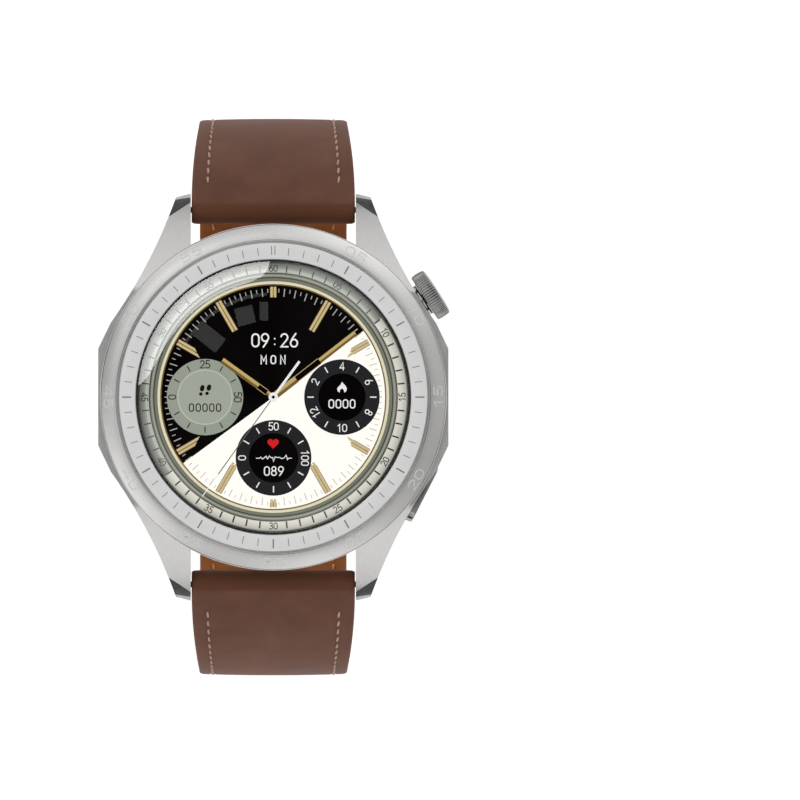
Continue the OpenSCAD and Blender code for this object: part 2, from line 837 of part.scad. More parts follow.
module buckle_tongue() {
    rise = 1.45;
    color([0.8, 0.8, 0.82]) on_buckle() difference() {
        union() {
            rotate([0, 90, 0]) cylinder(r = 1.6, h = tongue_w, center = true);
            hull() {
                box([tongue_w, 0.4, 1.0], [0, 0.4, 1.1]);
                box([tongue_w, 0.4, 0.9], [0, frame_len - plate_len, rise + 0.55]);
            }
            hull() {
                box([tongue_w, 0.4, 0.9], [0, frame_len - plate_len, rise + 0.55]);
                box([tongue_w - 0.8, 0.4, 0.7], [0, frame_len - 0.9, rise + 0.4]);
            }
        }
        rotate([0, 90, 0]) cylinder(r = buckle_bar_r + 0.05, h = 10, center = true);
    }
}

// ---------------------------------------------------------------- what is drawn

mid_case();
bezel_ring();
minute_ring();
cover_glass();
glass_gasket();
display_panel();
display_bracket();
display_flex();
back_cover();
back_crystal();
back_gasket();
back_screws();
sensor_board();
light_shield();
charging_coil();
coil_ferrite();
chassis();
battery();
main_board();
shield_cans();
board_screws();
speaker();
speaker_mesh();
microphone();
motor_can();
motor_shaft();
motor_weight();
crown_tube();
crown_switch();
crown_pusher();
crown_stem();
crown_clip();
crown_encoder();
crown_seal();
crown_knob();
crown_cap();
side_button();
button_stems();
button_clips();
button_yoke();
button_switch();
spring_bar_12();
release_pin_12();
release_spring_12();
strap_12_top();
strap_12_core();
strap_12_lining();
fixed_keeper();
sliding_keeper();
buckle_bar();
buckle_frame();
buckle_tongue();
spring_bar_6();
release_pin_6();
release_spring_6();
strap_6_top();
strap_6_core();
strap_6_lining();
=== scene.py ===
"""Round smartwatch on an unbuckled leather strap, seen square on from above the dial."""
import math
import random
import bpy
import bmesh
from mathutils import Matrix, Vector


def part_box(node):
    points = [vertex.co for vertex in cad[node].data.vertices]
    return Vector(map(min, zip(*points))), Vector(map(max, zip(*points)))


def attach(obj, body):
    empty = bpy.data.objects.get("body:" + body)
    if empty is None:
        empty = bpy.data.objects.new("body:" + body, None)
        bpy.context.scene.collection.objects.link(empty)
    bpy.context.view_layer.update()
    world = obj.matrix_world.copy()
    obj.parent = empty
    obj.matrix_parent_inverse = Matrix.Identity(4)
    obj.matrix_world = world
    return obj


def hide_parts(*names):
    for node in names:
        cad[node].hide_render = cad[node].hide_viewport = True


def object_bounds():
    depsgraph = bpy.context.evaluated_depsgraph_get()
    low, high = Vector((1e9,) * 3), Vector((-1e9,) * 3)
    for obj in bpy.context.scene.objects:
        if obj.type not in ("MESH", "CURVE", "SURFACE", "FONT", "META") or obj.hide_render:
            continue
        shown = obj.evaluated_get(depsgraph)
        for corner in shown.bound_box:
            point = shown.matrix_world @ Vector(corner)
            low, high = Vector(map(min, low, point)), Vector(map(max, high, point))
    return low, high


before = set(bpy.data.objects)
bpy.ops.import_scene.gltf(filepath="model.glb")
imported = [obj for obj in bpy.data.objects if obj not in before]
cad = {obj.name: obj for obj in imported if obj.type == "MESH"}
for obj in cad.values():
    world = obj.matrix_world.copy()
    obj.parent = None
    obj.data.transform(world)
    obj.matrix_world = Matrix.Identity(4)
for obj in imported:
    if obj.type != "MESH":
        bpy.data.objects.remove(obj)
cad_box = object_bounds()
MM = 0.001
rad = math.radians
random.seed(7)
SHARP_ANGLE = rad(38)  # pieces keep an edge sharp where their faces turn by more than this
# flatter CAD edges than the first are dissolved, sharper ones than the second are bevelled
FLAT_ANGLE, BEVEL_ANGLE = rad(0.4), rad(24)
# painted shade darkens the brown where the strap turns round its bar: from none to full in |y|, above this
# z, mm
WRAP_SHADE_NONE_Y, WRAP_SHADE_FULL_Y, WRAP_SHADE_LOW_Z = 26.1, 25.5, -4.0


# ------------------------------------------------------------------ materials

def material(name, color, rough, metal=0.0, **extra):
    """A Principled material; extra names sockets, with _ for a space."""
    m = bpy.data.materials.new(name)
    m.use_nodes = True
    shader = m.node_tree.nodes["Principled BSDF"]
    shader.inputs["Base Color"].default_value = (*color, 1)
    shader.inputs["Roughness"].default_value = rough
    shader.inputs["Metallic"].default_value = metal
    m.diffuse_color = (*color, 1)
    return tune(m, **extra)


def tune(m, **extra):
    """Sets sockets of the material's shader; _ stands for a space in their names."""
    for key, value in extra.items():
        shader_of(m).inputs[key.replace("_", " ")].default_value = value
    return m


def node(m, kind, **settings):
    n = m.node_tree.nodes.new(kind)
    for key, value in settings.items():
        if key in n.inputs:
            n.inputs[key].default_value = value
        else:
            setattr(n, key, value)
    return n


def link(m, source, target):
    m.node_tree.links.new(source, target)


def in_mm(m, stretch=(1, 1, 1)):
    """Object coordinates in millimetres, scaled along each axis."""
    coords = node(m, "ShaderNodeTexCoord")
    scale = node(m, "ShaderNodeMapping")
    scale.inputs["Scale"].default_value = [1000 * s for s in stretch]
    link(m, coords.outputs["Object"], scale.inputs["Vector"])
    return scale.outputs["Vector"]


def ramp(m, source, stops):
    r = node(m, "ShaderNodeValToRGB")
    while len(r.color_ramp.elements) < len(stops):
        r.color_ramp.elements.new(0.5)
    for element, (place, color) in zip(r.color_ramp.elements, stops):
        element.position = place
        element.color = (*color, 1) if len(color) == 3 else (color[0],) * 3 + (1,)
    link(m, source, r.inputs["Fac"])
    return r.outputs["Color"]


def calc(m, operation, *values):
    """A Math node on sockets and numbers."""
    n = node(m, "ShaderNodeMath", operation=operation)
    for socket, value in zip(n.inputs, values):
        if isinstance(value, (int, float)):
            socket.default_value = value
        else:
            link(m, value, socket)
    return n.outputs[0]


def bump(m, height, strength, distance, after=None):
    b = node(m, "ShaderNodeBump")
    b.inputs["Strength"].default_value = strength
    b.inputs["Distance"].default_value = distance * MM
    link(m, height, b.inputs["Height"])
    if after is not None:
        link(m, after, b.inputs["Normal"])
    return b.outputs["Normal"]


def shader_of(m):
    return m.node_tree.nodes["Principled BSDF"]


def brushed(name, color, rough, stretch, depth=0.3, circular=False, contrast=0.1, aniso=0.0):
    """Metal with fine parallel lines: stretch is large across the lines."""
    m = material(name, color, rough, 1.0, Anisotropic=aniso)
    s = shader_of(m)
    if circular:
        coords = node(m, "ShaderNodeTexCoord")
        apart = node(m, "ShaderNodeSeparateXYZ")
        link(m, coords.outputs["Object"], apart.inputs[0])
        flat = node(m, "ShaderNodeCombineXYZ")
        link(m, apart.outputs["X"], flat.inputs["X"])
        link(m, apart.outputs["Y"], flat.inputs["Y"])
        length = node(m, "ShaderNodeVectorMath", operation="LENGTH")
        link(m, flat.outputs[0], length.inputs[0])
        place = node(m, "ShaderNodeCombineXYZ")
        link(m, length.outputs["Value"], place.inputs["X"])
        scale = node(m, "ShaderNodeVectorMath", operation="SCALE")
        scale.inputs["Scale"].default_value = 1000 * stretch[0]
        link(m, place.outputs[0], scale.inputs[0])
        where = scale.outputs["Vector"]
        tangent = node(m, "ShaderNodeTangent", direction_type="RADIAL", axis="Z")
        link(m, tangent.outputs[0], s.inputs["Tangent"])
    else:
        where = in_mm(m, stretch)
    lines = node(m, "ShaderNodeTexNoise", Scale=1.0, Detail=4.0, Roughness=0.7)
    link(m, where, lines.inputs["Vector"])
    low = [c * (1 - contrast) for c in color]
    high = [min(1, c * (1 + contrast)) for c in color]
    link(m, ramp(m, lines.outputs["Fac"], [(0.3, low), (0.7, high)]), s.inputs["Base Color"])
    wear = node(m, "ShaderNodeTexNoise", Scale=0.35, Detail=3.0)
    link(m, in_mm(m), wear.inputs["Vector"])
    link(m, ramp(m, wear.outputs["Fac"], [(0.3, (rough * 0.95,)), (0.75, (rough * 1.08,))]),
         s.inputs["Roughness"])
    link(m, bump(m, lines.outputs["Fac"], depth, 0.02), s.inputs["Normal"])
    return m


def polished(name, color, rough=0.12):
    """Mirror-like metal with faint smudges."""
    m = material(name, color, rough, 1.0)
    s = shader_of(m)
    smudge = node(m, "ShaderNodeTexNoise", Scale=0.6, Detail=5.0, Roughness=0.6)
    link(m, in_mm(m), smudge.inputs["Vector"])
    link(m, ramp(m, smudge.outputs["Fac"], [(0.35, (rough * 0.7,)), (0.75, (rough * 1.7,))]),
         s.inputs["Roughness"])
    return m


def leather(name, dark, mid, light, rough, grain=1.0, shine=0.1, wrap_shade=None):
    """Smooth calf leather in sRGB tones: pebbled pores and a mottled dye, with painted shade where it turns
    round the spring bar.
    """
    dark, mid, light = srgb(*dark), srgb(*mid), srgb(*light)
    m = material(name, mid, rough, Specular_IOR_Level=shine)
    s = shader_of(m)
    where = in_mm(m)
    mottle = node(m, "ShaderNodeTexNoise", Scale=0.16, Detail=5.0, Roughness=0.6)
    link(m, where, mottle.inputs["Vector"])
    dye = ramp(m, mottle.outputs["Fac"], [(0.3, dark), (0.52, mid), (0.75, light)])
    # painted shade: the dye goes darker where the strap turns round its spring bar, above a given height
    if wrap_shade:
        apart = node(m, "ShaderNodeSeparateXYZ")
        link(m, where, apart.inputs[0])
        fold = node(m, "ShaderNodeMapRange", interpolation_type="SMOOTHSTEP")
        fold.inputs["From Min"].default_value = WRAP_SHADE_NONE_Y
        fold.inputs["From Max"].default_value = WRAP_SHADE_FULL_Y
        link(m, calc(m, "ABSOLUTE", apart.outputs["Y"]), fold.inputs["Value"])
        high = calc(m, "GREATER_THAN", apart.outputs["Z"], WRAP_SHADE_LOW_Z)
        mix = node(m, "ShaderNodeMix", data_type="RGBA")
        link(m, calc(m, "MULTIPLY", fold.outputs["Result"], high), mix.inputs["Factor"])
        link(m, dye, mix.inputs[6])
        mix.inputs[7].default_value = (*srgb(*wrap_shade), 1)
        dye = mix.outputs[2]
    link(m, dye, s.inputs["Base Color"])
    cells = node(m, "ShaderNodeTexVoronoi", Scale=2.6 * grain, feature="DISTANCE_TO_EDGE")
    warp = node(m, "ShaderNodeTexNoise", Scale=1.5, Detail=2.0)
    link(m, where, warp.inputs["Vector"])
    shift = node(m, "ShaderNodeVectorMath", operation="MULTIPLY_ADD")
    shift.inputs[1].default_value = (0.5, 0.5, 0.5)
    link(m, warp.outputs["Color"], shift.inputs[0])
    link(m, where, shift.inputs[2])
    link(m, shift.outputs["Vector"], cells.inputs["Vector"])
    pebbles = ramp(m, cells.outputs["Distance"], [(0.0, (0.0,)), (0.12, (1.0,))])
    fine = node(m, "ShaderNodeTexNoise", Scale=9.0, Detail=6.0, Roughness=0.65)
    link(m, where, fine.inputs["Vector"])
    first = bump(m, pebbles, 0.22, 0.035)
    link(m, bump(m, fine.outputs["Fac"], 0.35, 0.04, first), s.inputs["Normal"])
    link(m, ramp(m, mottle.outputs["Fac"], [(0.3, (rough * 0.9,)), (0.75, (rough * 1.12,))]),
         s.inputs["Roughness"])
    return m


def plastic(name, color, rough, depth=0.15, scale=6.0):
    """Moulded plastic with a fine spark-eroded texture."""
    m = material(name, color, rough)
    s = shader_of(m)
    texture = node(m, "ShaderNodeTexNoise", Scale=scale, Detail=3.0)
    link(m, in_mm(m), texture.inputs["Vector"])
    low = [c * 0.85 for c in color]
    high = [min(1, c * 1.15) for c in color]
    link(m, ramp(m, texture.outputs["Fac"], [(0.35, low), (0.65, high)]), s.inputs["Base Color"])
    link(m, bump(m, texture.outputs["Fac"], depth, 0.02), s.inputs["Normal"])
    return m


def srgb(*c):
    return tuple((v / 255 / 12.92) if v <= 10 else ((v / 255 + 0.055) / 1.055) ** 2.4 for v in c)


def lit(name, color, glow=1.0):
    """Lit display area, colour in sRGB, with a faint pixel grid in its roughness."""
    c = srgb(*color)
    m = material("lit_" + name, [v * 0.03 for v in c], 0.5, Emission_Strength=glow,
                 Specular_IOR_Level=0.0, Emission_Color=(*c, 1))
    grid = node(m, "ShaderNodeTexChecker", Scale=1.0)
    link(m, in_mm(m, (13, 13, 13)), grid.inputs["Vector"])
    link(m, ramp(m, grid.outputs["Fac"], [(0.0, (0.45,)), (1.0, (0.55,))]),
         shader_of(m).inputs["Roughness"])
    return m


STEEL = (0.68, 0.675, 0.67)
brushed_case = brushed("brushed_case", STEEL, 0.32, (7, 0.1, 3), 0.25, contrast=0.06)
brushed_ring = brushed("brushed_ring", (0.62, 0.617, 0.615), 0.26, (10, 1, 1), 0.2, True, 0.05, 0.4)
inner_ring = brushed("inner_ring", (0.94, 0.94, 0.945), 0.42, (8, 1, 1), 0.1, True, 0.03)
tune(inner_ring, Metallic=0.4)
bright_steel = polished("bright_steel", (0.62, 0.615, 0.61), 0.1)
# painted shade: bevelled case edges get a dark steel so that they show as dark lines
shaded_edge_steel = polished("shaded_edge_steel", (0.16, 0.16, 0.163), 0.16)
# painted shade at the lugs' tips: a darker grey steel face, and a black non-metal band above it
tip_face = polished("tip_face", (0.3, 0.3, 0.305), 0.3)
tip_shade_band = tune(polished("tip_shade_band", (0.012, 0.012, 0.013), 0.3), Metallic=0.0, Specular_IOR_Level=0.12)
# painted shade: a steel darker than the case's, so that the crown and the button read dark
crown_steel = polished("crown_steel", (0.36, 0.358, 0.355), 0.14)
inner_steel = brushed("inner_steel", (0.5, 0.5, 0.5), 0.35, (4, 4, 4), 0.2)
engraved = brushed("engraved", (0.26, 0.255, 0.25), 0.42, (5, 5, 5), 0.2)
engraved_soft = tune(brushed("engraved_soft", (0.78, 0.78, 0.78), 0.5, (5, 5, 5), 0.2), Metallic=0.5)
# the last tone is the painted shade where the strap turns round its spring bar
brown = leather("brown_leather", (108, 73, 60), (117, 80, 66), (126, 88, 73), 0.6, 1.0, 0.08, (108, 69, 50))
amber = leather("amber_leather", (130, 74, 38), (150, 90, 48), (164, 104, 58), 0.6, 1.6)
edge_paint = leather("edge_paint", (40, 22, 16), (46, 26, 19), (54, 31, 24), 0.45, 2.5)
thread, amber_thread = (tune(plastic(name, srgb(*tone), 0.8, 0.6, 9.0), Specular_IOR_Level=0.1)
                        for name, tone in (("thread", (196, 166, 146)), ("amber_thread", (206, 150, 98))))
black_plastic = plastic("black_plastic", (0.02, 0.02, 0.021), 0.45)
satin_black = plastic("satin_black", (0.035, 0.035, 0.038), 0.38, 0.12, 3.0)
rubber = plastic("rubber", (0.012, 0.012, 0.012), 0.6, 0.3, 5.0)
board = plastic("board", (0.02, 0.11, 0.06), 0.35)
copper = brushed("copper", (0.72, 0.38, 0.2), 0.3, (6, 6, 6), 0.3)
ceramic = material("ceramic", (0.012, 0.012, 0.014), 0.06, Coat_Weight=0.5, Coat_Roughness=0.05)
glass = material("clear_glass", (1, 1, 1), 0.0, IOR=1.7, Transmission_Weight=1.0)
# the underside is bonded to the display, so it mirrors nothing of its own
bonded = material("bonded_glass", (1, 1, 1), 0.0, IOR=1.0, Transmission_Weight=1.0)
cream = lit("cream", (255, 251, 244), 1.08)
black = lit("black", (5, 3, 3))
gold = lit("gold", (206, 186, 138))
gold_hand = lit("gold_hand", (196, 170, 112))
gold_dark = lit("gold_dark", (118, 94, 50))
gold_pale = lit("gold_pale", (226, 220, 190))
olive = lit("olive", (118, 120, 106))
olive_dark = lit("olive_dark", (58, 56, 44))
sage = lit("sage", (152, 158, 145))
sage_light = lit("sage_light", (163, 169, 156))
sage_pale = lit("sage_pale", (196, 200, 190))
charcoal = lit("charcoal", (38, 37, 40))
white = lit("white", (240, 240, 238))
grey = lit("grey", (176, 174, 170))
slate = lit("slate", (96, 94, 92))
faint = lit("faint", (206, 203, 194))
ink = lit("ink", (22, 24, 20))
red = lit("red", (214, 34, 38))


# ------------------------------------------------------------------ mesh helpers

def add_object(name, data):
    obj = bpy.data.objects.new(name, data)
    bpy.context.scene.collection.objects.link(obj)
    return obj


def turn_outward(mesh):
    """Makes the faces of closed shapes point outward."""
    bm = bmesh.new()
    bm.from_mesh(mesh)
    bmesh.ops.recalc_face_normals(bm, faces=bm.faces)
    bm.to_mesh(mesh)
    bm.free()


def smooth(mesh):
    mesh.polygons.foreach_set("use_smooth", [True] * len(mesh.polygons))
    mesh.set_sharp_from_angle(angle=SHARP_ANGLE)


def piece(name, verts, faces, mats, body, stands_for=(), slot=None, face_mats=None, flat=False):
    """A mesh in millimetres, as an object that rides on a body; a flat one keeps its faces as given."""
    mesh = bpy.data.meshes.new(name)
    mesh.from_pydata([[c * MM for c in v] for v in verts], [], faces)
    for m in mats if isinstance(mats, (list, tuple)) else [mats]:
        mesh.materials.append(m)
    if face_mats:
        mesh.polygons.foreach_set("material_index", face_mats)
    if not flat:
        turn_outward(mesh)
        smooth(mesh)
    obj = add_object(name, mesh)
    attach(obj, body)
    if stands_for:
        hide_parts(*stands_for)
    return obj


def rounded(points, radius, steps=3):
    """A closed profile with each corner rounded by up to the radius."""
    out = []
    n = len(points)
    for i in range(n):
        p = Vector(points[i])
        a = Vector(points[i - 1]) - p
        b = Vector(points[(i + 1) % n]) - p
        r = min(radius, a.length * 0.45, b.length * 0.45)
        turn = a.angle(b, math.pi)
        if turn > rad(165) or r < 1e-4:
            out.append(tuple(p))
            continue
        start, end = p + a.normalized() * r, p + b.normalized() * r
        for k in range(steps + 1):
            t = k / steps
            q = start * (1 - t) ** 2 + p * 2 * t * (1 - t) + end * t ** 2
            out.append(tuple(q))
    return out


def tube(rings, around, first=0, closed=True):
    """Faces between equal rings of vertices; closed joins the last ring to the first."""
    return [(first + i * around + k, first + (i + 1) % rings * around + k,
             first + (i + 1) % rings * around + (k + 1) % around, first + i * around + (k + 1) % around)
            for i in range(rings if closed else rings - 1) for k in range(around)]


def turned(name, profile, segments, *rest, place=None, wave=None):
    """A closed (r, z) profile turned about Z, as a piece; wave(angle, r, z) moves r."""
    verts = []
    for i in range(segments):
        a = 2 * math.pi * i / segments
        for r, z in profile:
            q = wave(a, r, z) if wave else r
            p = Vector((q * math.cos(a), q * math.sin(a), z))
            verts.append(tuple(place @ p) if place else tuple(p))
    return piece(name, verts, tube(segments, len(profile)), *rest)


def disc_profile(profile):
    """A profile that starts and ends on the axis, kept a hair off it so that it closes."""
    return [(max(r, 0.004), z) for r, z in profile]


def radial_place(angle, height):
    """Local Z runs outward at this angle, local X down and local Y along the rim."""
    a = rad(angle)
    out, side = Vector((math.cos(a), math.sin(a), 0)), Vector((-math.sin(a), math.cos(a), 0))
    m = Matrix.Identity(4)
    for i in range(3):
        m[i][0], m[i][1], m[i][2] = (0, 0, -1)[i], side[i], out[i]
    m[2][3] = height
    return m


# Flat artwork: shapes as lists of (verts, faces) in the plane, in millimetres

def arc(cx, cy, rx, ry, start, end, n=12):
    return [(cx + rx * math.cos(rad(start + (end - start) * i / n)),
             cy + ry * math.sin(rad(start + (end - start) * i / n))) for i in range(n + 1)]


def stroke(points, w, closed=False):
    """A line of even width, with round ends when open."""
    n = len(points)
    left, right = [], []
    for i, p in enumerate(points):
        before = points[i - 1] if closed or i else points[0]
        after = points[(i + 1) % n] if closed or i < n - 1 else points[-1]
        d1 = Vector((p[0] - before[0], p[1] - before[1]))
        d2 = Vector((after[0] - p[0], after[1] - p[1]))
        d1 = d1.normalized() if d1.length > 1e-9 else d2.normalized()
        d2 = d2.normalized() if d2.length > 1e-9 else d1
        side = Vector((-(d1 + d2).y, (d1 + d2).x))
        side = side.normalized() if side.length > 1e-6 else Vector((-d1.y, d1.x))
        grow = min(2.0, 1 / max(0.3, side.dot(Vector((-d1.y, d1.x)))))
        left.append((p[0] + side.x * w / 2 * grow, p[1] + side.y * w / 2 * grow))
        right.append((p[0] - side.x * w / 2 * grow, p[1] - side.y * w / 2 * grow))
    verts = left + right
    faces = [(i, i + 1, n + i + 1, n + i) for i in range(n - 1)]
    if closed:
        faces.append((n - 1, 0, n, 2 * n - 1))
        return verts, faces
    for end, inner in ((0, 1), (n - 1, n - 2)):
        p, q = Vector(points[end]), Vector(points[inner])
        base = math.degrees(math.atan2((p - q).y, (p - q).x))
        first = len(verts)
        verts.extend(arc(p.x, p.y, w / 2, w / 2, base - 90, base + 90, 6))
        faces.append(tuple(range(first, first + 7)))
    return verts, faces


def disc(cx, cy, r, n=64):
    return arc(cx, cy, r, r, 0, 360 - 360 / n, n - 1), [tuple(range(n))]


def annulus(cx, cy, r_out, r_in, start=0, end=360):
    outer, inner = (arc(cx, cy, r, r, start, end, 96) for r in (r_out, r_in))
    full = end - start >= 360
    if full:
        outer, inner = outer[:-1], inner[:-1]
    k = len(outer)
    faces = [(i, (i + 1) % k, k + (i + 1) % k, k + i) for i in range(k if full else k - 1)]
    return outer + inner, faces


def bar(r0, r1, w, angle, cx=0, cy=0, shift=0):
    """A straight bar along a radius, angle anticlockwise from +X."""
    c, s = math.cos(rad(angle)), math.sin(rad(angle))
    quad = [(r0, shift - w / 2), (r1, shift - w / 2), (r1, shift + w / 2), (r0, shift + w / 2)]
    return [(cx + u * c - v * s, cy + u * s + v * c) for u, v in quad], [(0, 1, 2, 3)]


def moved(shape, fn):
    return [fn(*v) for v in shape[0]], shape[1]


def turned_to(shapes, cx, cy, angle, scale=1.0):
    c, s = math.cos(rad(angle)) * scale, math.sin(rad(angle)) * scale
    return [moved(q, lambda u, v: (cx + u * c - v * s, cy + u * s + v * c)) for q in shapes]


def artwork(name, layers, base, depth, slot):
    """Flat shapes as thin closed solids on the case: layers is a list of (shapes, material, lift).

    base is the surface's height, or a function that gives it at a radius."""
    verts, faces, mats, index = [], [], [], []
    for shapes, mat, lift in layers:
        mats.append(mat)
        for shape_verts, shape_faces in shapes:
            first = len(verts)
            k = len(shape_verts)
            for level in (0.0, depth):
                for x, y in shape_verts:
                    z = base(math.hypot(x, y)) if callable(base) else base
                    verts.append((x, y, z + lift + level))
            edges = {}
            for f in shape_faces:
                area = sum(shape_verts[f[i - 1]][0] * shape_verts[f[i]][1]
                           - shape_verts[f[i]][0] * shape_verts[f[i - 1]][1] for i in range(len(f)))
                f = f if area > 0 else tuple(reversed(f))
                faces.append(tuple(first + k + i for i in f))
                faces.append(tuple(first + i for i in reversed(f)))
                index += [len(mats) - 1] * 2
                for i in range(len(f)):
                    edges[(f[i - 1], f[i])] = True
            for a, b in edges:
                if (b, a) not in edges:
                    faces.append((first + a, first + b, first + k + b, first + k + a))
                    index.append(len(mats) - 1)
    piece(name, verts, faces, mats, "case", (), slot, index, flat=True)


# Line figures on a grid one unit high and 0.6 wide
GLYPHS = {
    "0": [(arc(.3, .7, .27, .27, 0, 180) + arc(.3, .3, .27, .27, 180, 360), True)],
    "1": [([(.12, .78), (.36, 1), (.36, 0)], False)],
    "2": [(arc(.3, .72, .26, .26, 165, -38) + [(.05, .02), (.58, .02)], False)],
    "3": [(arc(.28, .76, .23, .23, 150, -90, 10) + arc(.28, .27, .27, .27, 90, -150), False)],
    "4": [([(.46, 0), (.46, 1), (.03, .27), (.6, .27)], False)],
    "5": [([(.54, 1), (.12, 1), (.08, .56)] + arc(.29, .31, .28, .3, 118, -150), False)],
    "6": [(arc(.3, .29, .27, .28, 0, 360, 16)[:-1], True), ([(.07, .42), (.2, .68), (.44, 1)], False)],
    "7": [([(.04, 1), (.56, 1), (.22, 0)], False)],
    "8": [(arc(.3, .75, .22, .23, 0, 360, 14)[:-1], True),
          (arc(.3, .27, .27, .26, 0, 360, 14)[:-1], True)],
    "9": [(arc(.3, .71, .27, .28, 0, 360, 16)[:-1], True), ([(.53, .58), (.4, .32), (.16, 0)], False)],
    ":": [([(.3, .2), (.3, .201)], False), ([(.3, .62), (.3, .621)], False)],
    "M": [([(.0, 0), (.0, 1), (.3, .35), (.6, 1), (.6, 0)], False)],
    "N": [([(.05, 0), (.05, 1), (.55, 0), (.55, 1)], False)],
}
GLYPHS["O"] = GLYPHS["0"]


def lettering(text, height, pitch, weight=0.14, wide=1.0):
    """Centred line figures; pitch is the step from one to the next, in heights."""
    shapes = []
    for i, char in enumerate(text):
        shift = (i - (len(text) - 1) / 2) * pitch
        for points, closed in GLYPHS[char]:
            line = [((shift + (x - 0.3) * wide) * height, (y - 0.5) * height) for x, y in points]
            shapes.append(stroke(line, weight * height, closed))
    return shapes


# ------------------------------------------------------------------ levels shared with the CAD

lift = {n: (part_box(n)[0].z / MM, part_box(n)[1].z / MM) for n in cad}
BEZEL_TOP = lift["bezel_ring"][1]
RING_TOP = lift["minute_ring"][1]
GLASS_LOW, GLASS_TOP = lift["cover_glass"]
CASE_TOP = BEZEL_TOP - 1.52
RING_SEAT = CASE_TOP + 0.7
MID_Z = 4.9  # height of the crown's and button's axes
CROWN = 33  # bearing of the crown's axis, degrees
RING_SEGMENTS, GLASS_SEGMENTS, DISC_SEGMENTS = 256, 192, 160
FLANK = math.degrees(math.atan2(46.7 / 2 - 13.0, 26.7 - 6.45))


def finish_cad(name, mat, width=0.0, edge=None):
    """Welds, bevels and smooths a CAD node with modifiers, and sets its materials."""
    obj = cad[name]
    obj.data.materials.clear()
    obj.data.materials.append(mat)
    if edge:
        obj.data.materials.append(edge)
    if "custom_normal" in obj.data.attributes:
        obj.data.attributes.remove(obj.data.attributes["custom_normal"])
    obj.data.polygons.foreach_set("use_smooth", [True] * len(obj.data.polygons))
    obj.data.polygons.foreach_set("material_index", [0] * len(obj.data.polygons))
    weld = obj.modifiers.new("weld", "WELD")
    weld.merge_threshold = 2e-6
    if width:
        flat = obj.modifiers.new("flat", "DECIMATE")
        flat.decimate_type = "DISSOLVE"
        flat.angle_limit = FLAT_ANGLE
        bevel = obj.modifiers.new("bevel", "BEVEL")
        bevel.width = width * MM
        bevel.segments = 3
        bevel.limit_method = "ANGLE"
        bevel.angle_limit = BEVEL_ANGLE
        bevel.material = 1 if edge else -1
        bevel.use_clamp_overlap = True
    normals = obj.modifiers.new("normals", "WEIGHTED_NORMAL")
    normals.keep_sharp = True
    normals.weight = 100
    return obj


# ------------------------------------------------------------------ case, bezel and glass

# the case's bevels carry the painted shade of the dark edge steel
case_obj = finish_cad("mid_case", brushed_case, 0.13, shaded_edge_steel)
for extra in (bright_steel, tip_shade_band, tip_face):
    case_obj.data.materials.append(extra)
# the walls are bright; at the lugs' tips the sloping end gets painted shade: a black band, with a darker
# grey steel face under it
TIP_Y, BRIGHT, BAND, END = 24, 2, 3, 4
for face in case_obj.data.polygons:
    at, turn = face.center / MM, face.normal
    at_tip = abs(at.y) > TIP_Y and abs(turn.y) > 0.6
    # painted shade: the lug tips' sloping faces get the black band and the darker grey face
    if at_tip and 0.3 < turn.z < 0.6:
        face.material_index = BAND
    elif at_tip and 0.1 < turn.z <= 0.3:
        face.material_index = END
    elif turn.z < 0.5:
        face.material_index = BRIGHT

RING_IN, RING_OUT = 18.32, 20.6
BEZEL_IN, BEZEL_OUT = 21.02, 22.96
bezel_profile = rounded([
    (RING_IN, CASE_TOP - 0.8), (19.0, CASE_TOP - 0.8), (19.0, CASE_TOP), (22.8, CASE_TOP),
    (23.1, CASE_TOP + 0.3), (23.1, CASE_TOP + 0.88), (BEZEL_OUT, CASE_TOP + 1.02), (BEZEL_IN, BEZEL_TOP),
    (20.92, BEZEL_TOP), (20.72, BEZEL_TOP - 0.35), (20.62, BEZEL_TOP - 0.35), (20.62, RING_SEAT),
    (RING_IN, RING_SEAT)], 0.06)
# the brushed top face is the one wide, high span of the profile; the rest is polished
count = len(bezel_profile)
spans = []
for k in range(count):
    r0, z0 = bezel_profile[k]
    r1, z1 = bezel_profile[(k + 1) % count]
    spans.append(0 if abs(r1 - r0) > 1.2 and min(z0, z1) > CASE_TOP + 0.9 else 1)
turned("bezel_body", bezel_profile, RING_SEGMENTS, [brushed_ring, bright_steel], "case", ["bezel_ring"],
       "case_steel", spans * RING_SEGMENTS)


def bezel_height(r):
    return BEZEL_TOP - (BEZEL_TOP - CASE_TOP - 1.02) * (r - BEZEL_IN) / (BEZEL_OUT - BEZEL_IN)


def on_ring(shapes, angle, radius, outward=True):
    """Bends upright shapes round a ring; tops point outward, or inward if not."""
    sign = 1 if outward else -1

    def bend(u, v):
        r = radius + sign * v
        a = rad(angle) - sign * u / radius
        return r * math.cos(a), r * math.sin(a)
    return [moved(q, bend) for q in shapes]


def in_upper_half(minute):
    return minute <= 14 or minute >= 46


marks = []
for minute in range(5, 60, 5):
    marks += on_ring(lettering(f"{minute:02d}", 1.1, 1.5, 0.15, 2.0), 90 - 6 * minute, 22.0,
                     in_upper_half(minute))
marks.append(([(-0.62, 21.5), (0.62, 21.5), (0, 22.4)], [(0, 1, 2)]))
artwork("bezel_numerals", [(marks, engraved_soft, 0.004)], bezel_height, 0.012, "case_steel")

ring_profile = rounded([
    (RING_IN, RING_SEAT), (RING_OUT, RING_SEAT), (RING_OUT, RING_TOP - 0.12),
    (RING_OUT - 0.1, RING_TOP), (RING_IN + 0.12, RING_TOP), (RING_IN, RING_TOP - 0.12)], 0.05)
turned("minute_ring_body", ring_profile, RING_SEGMENTS, inner_ring, "case", ["minute_ring"], "ring_steel")
ticks = [bar(18.95, 19.95 if m % 5 else 20.15, 0.17 if m % 5 == 0 else 0.09, 90 - 6 * m)
         for m in range(1, 60)]
ticks += [bar(18.95, 20.15, 0.1, 90, shift=s) for s in (-0.22, 0.22)]
artwork("minute_ring_ticks", [(ticks, engraved, 0.002)], RING_TOP, 0.01, "ring_steel")

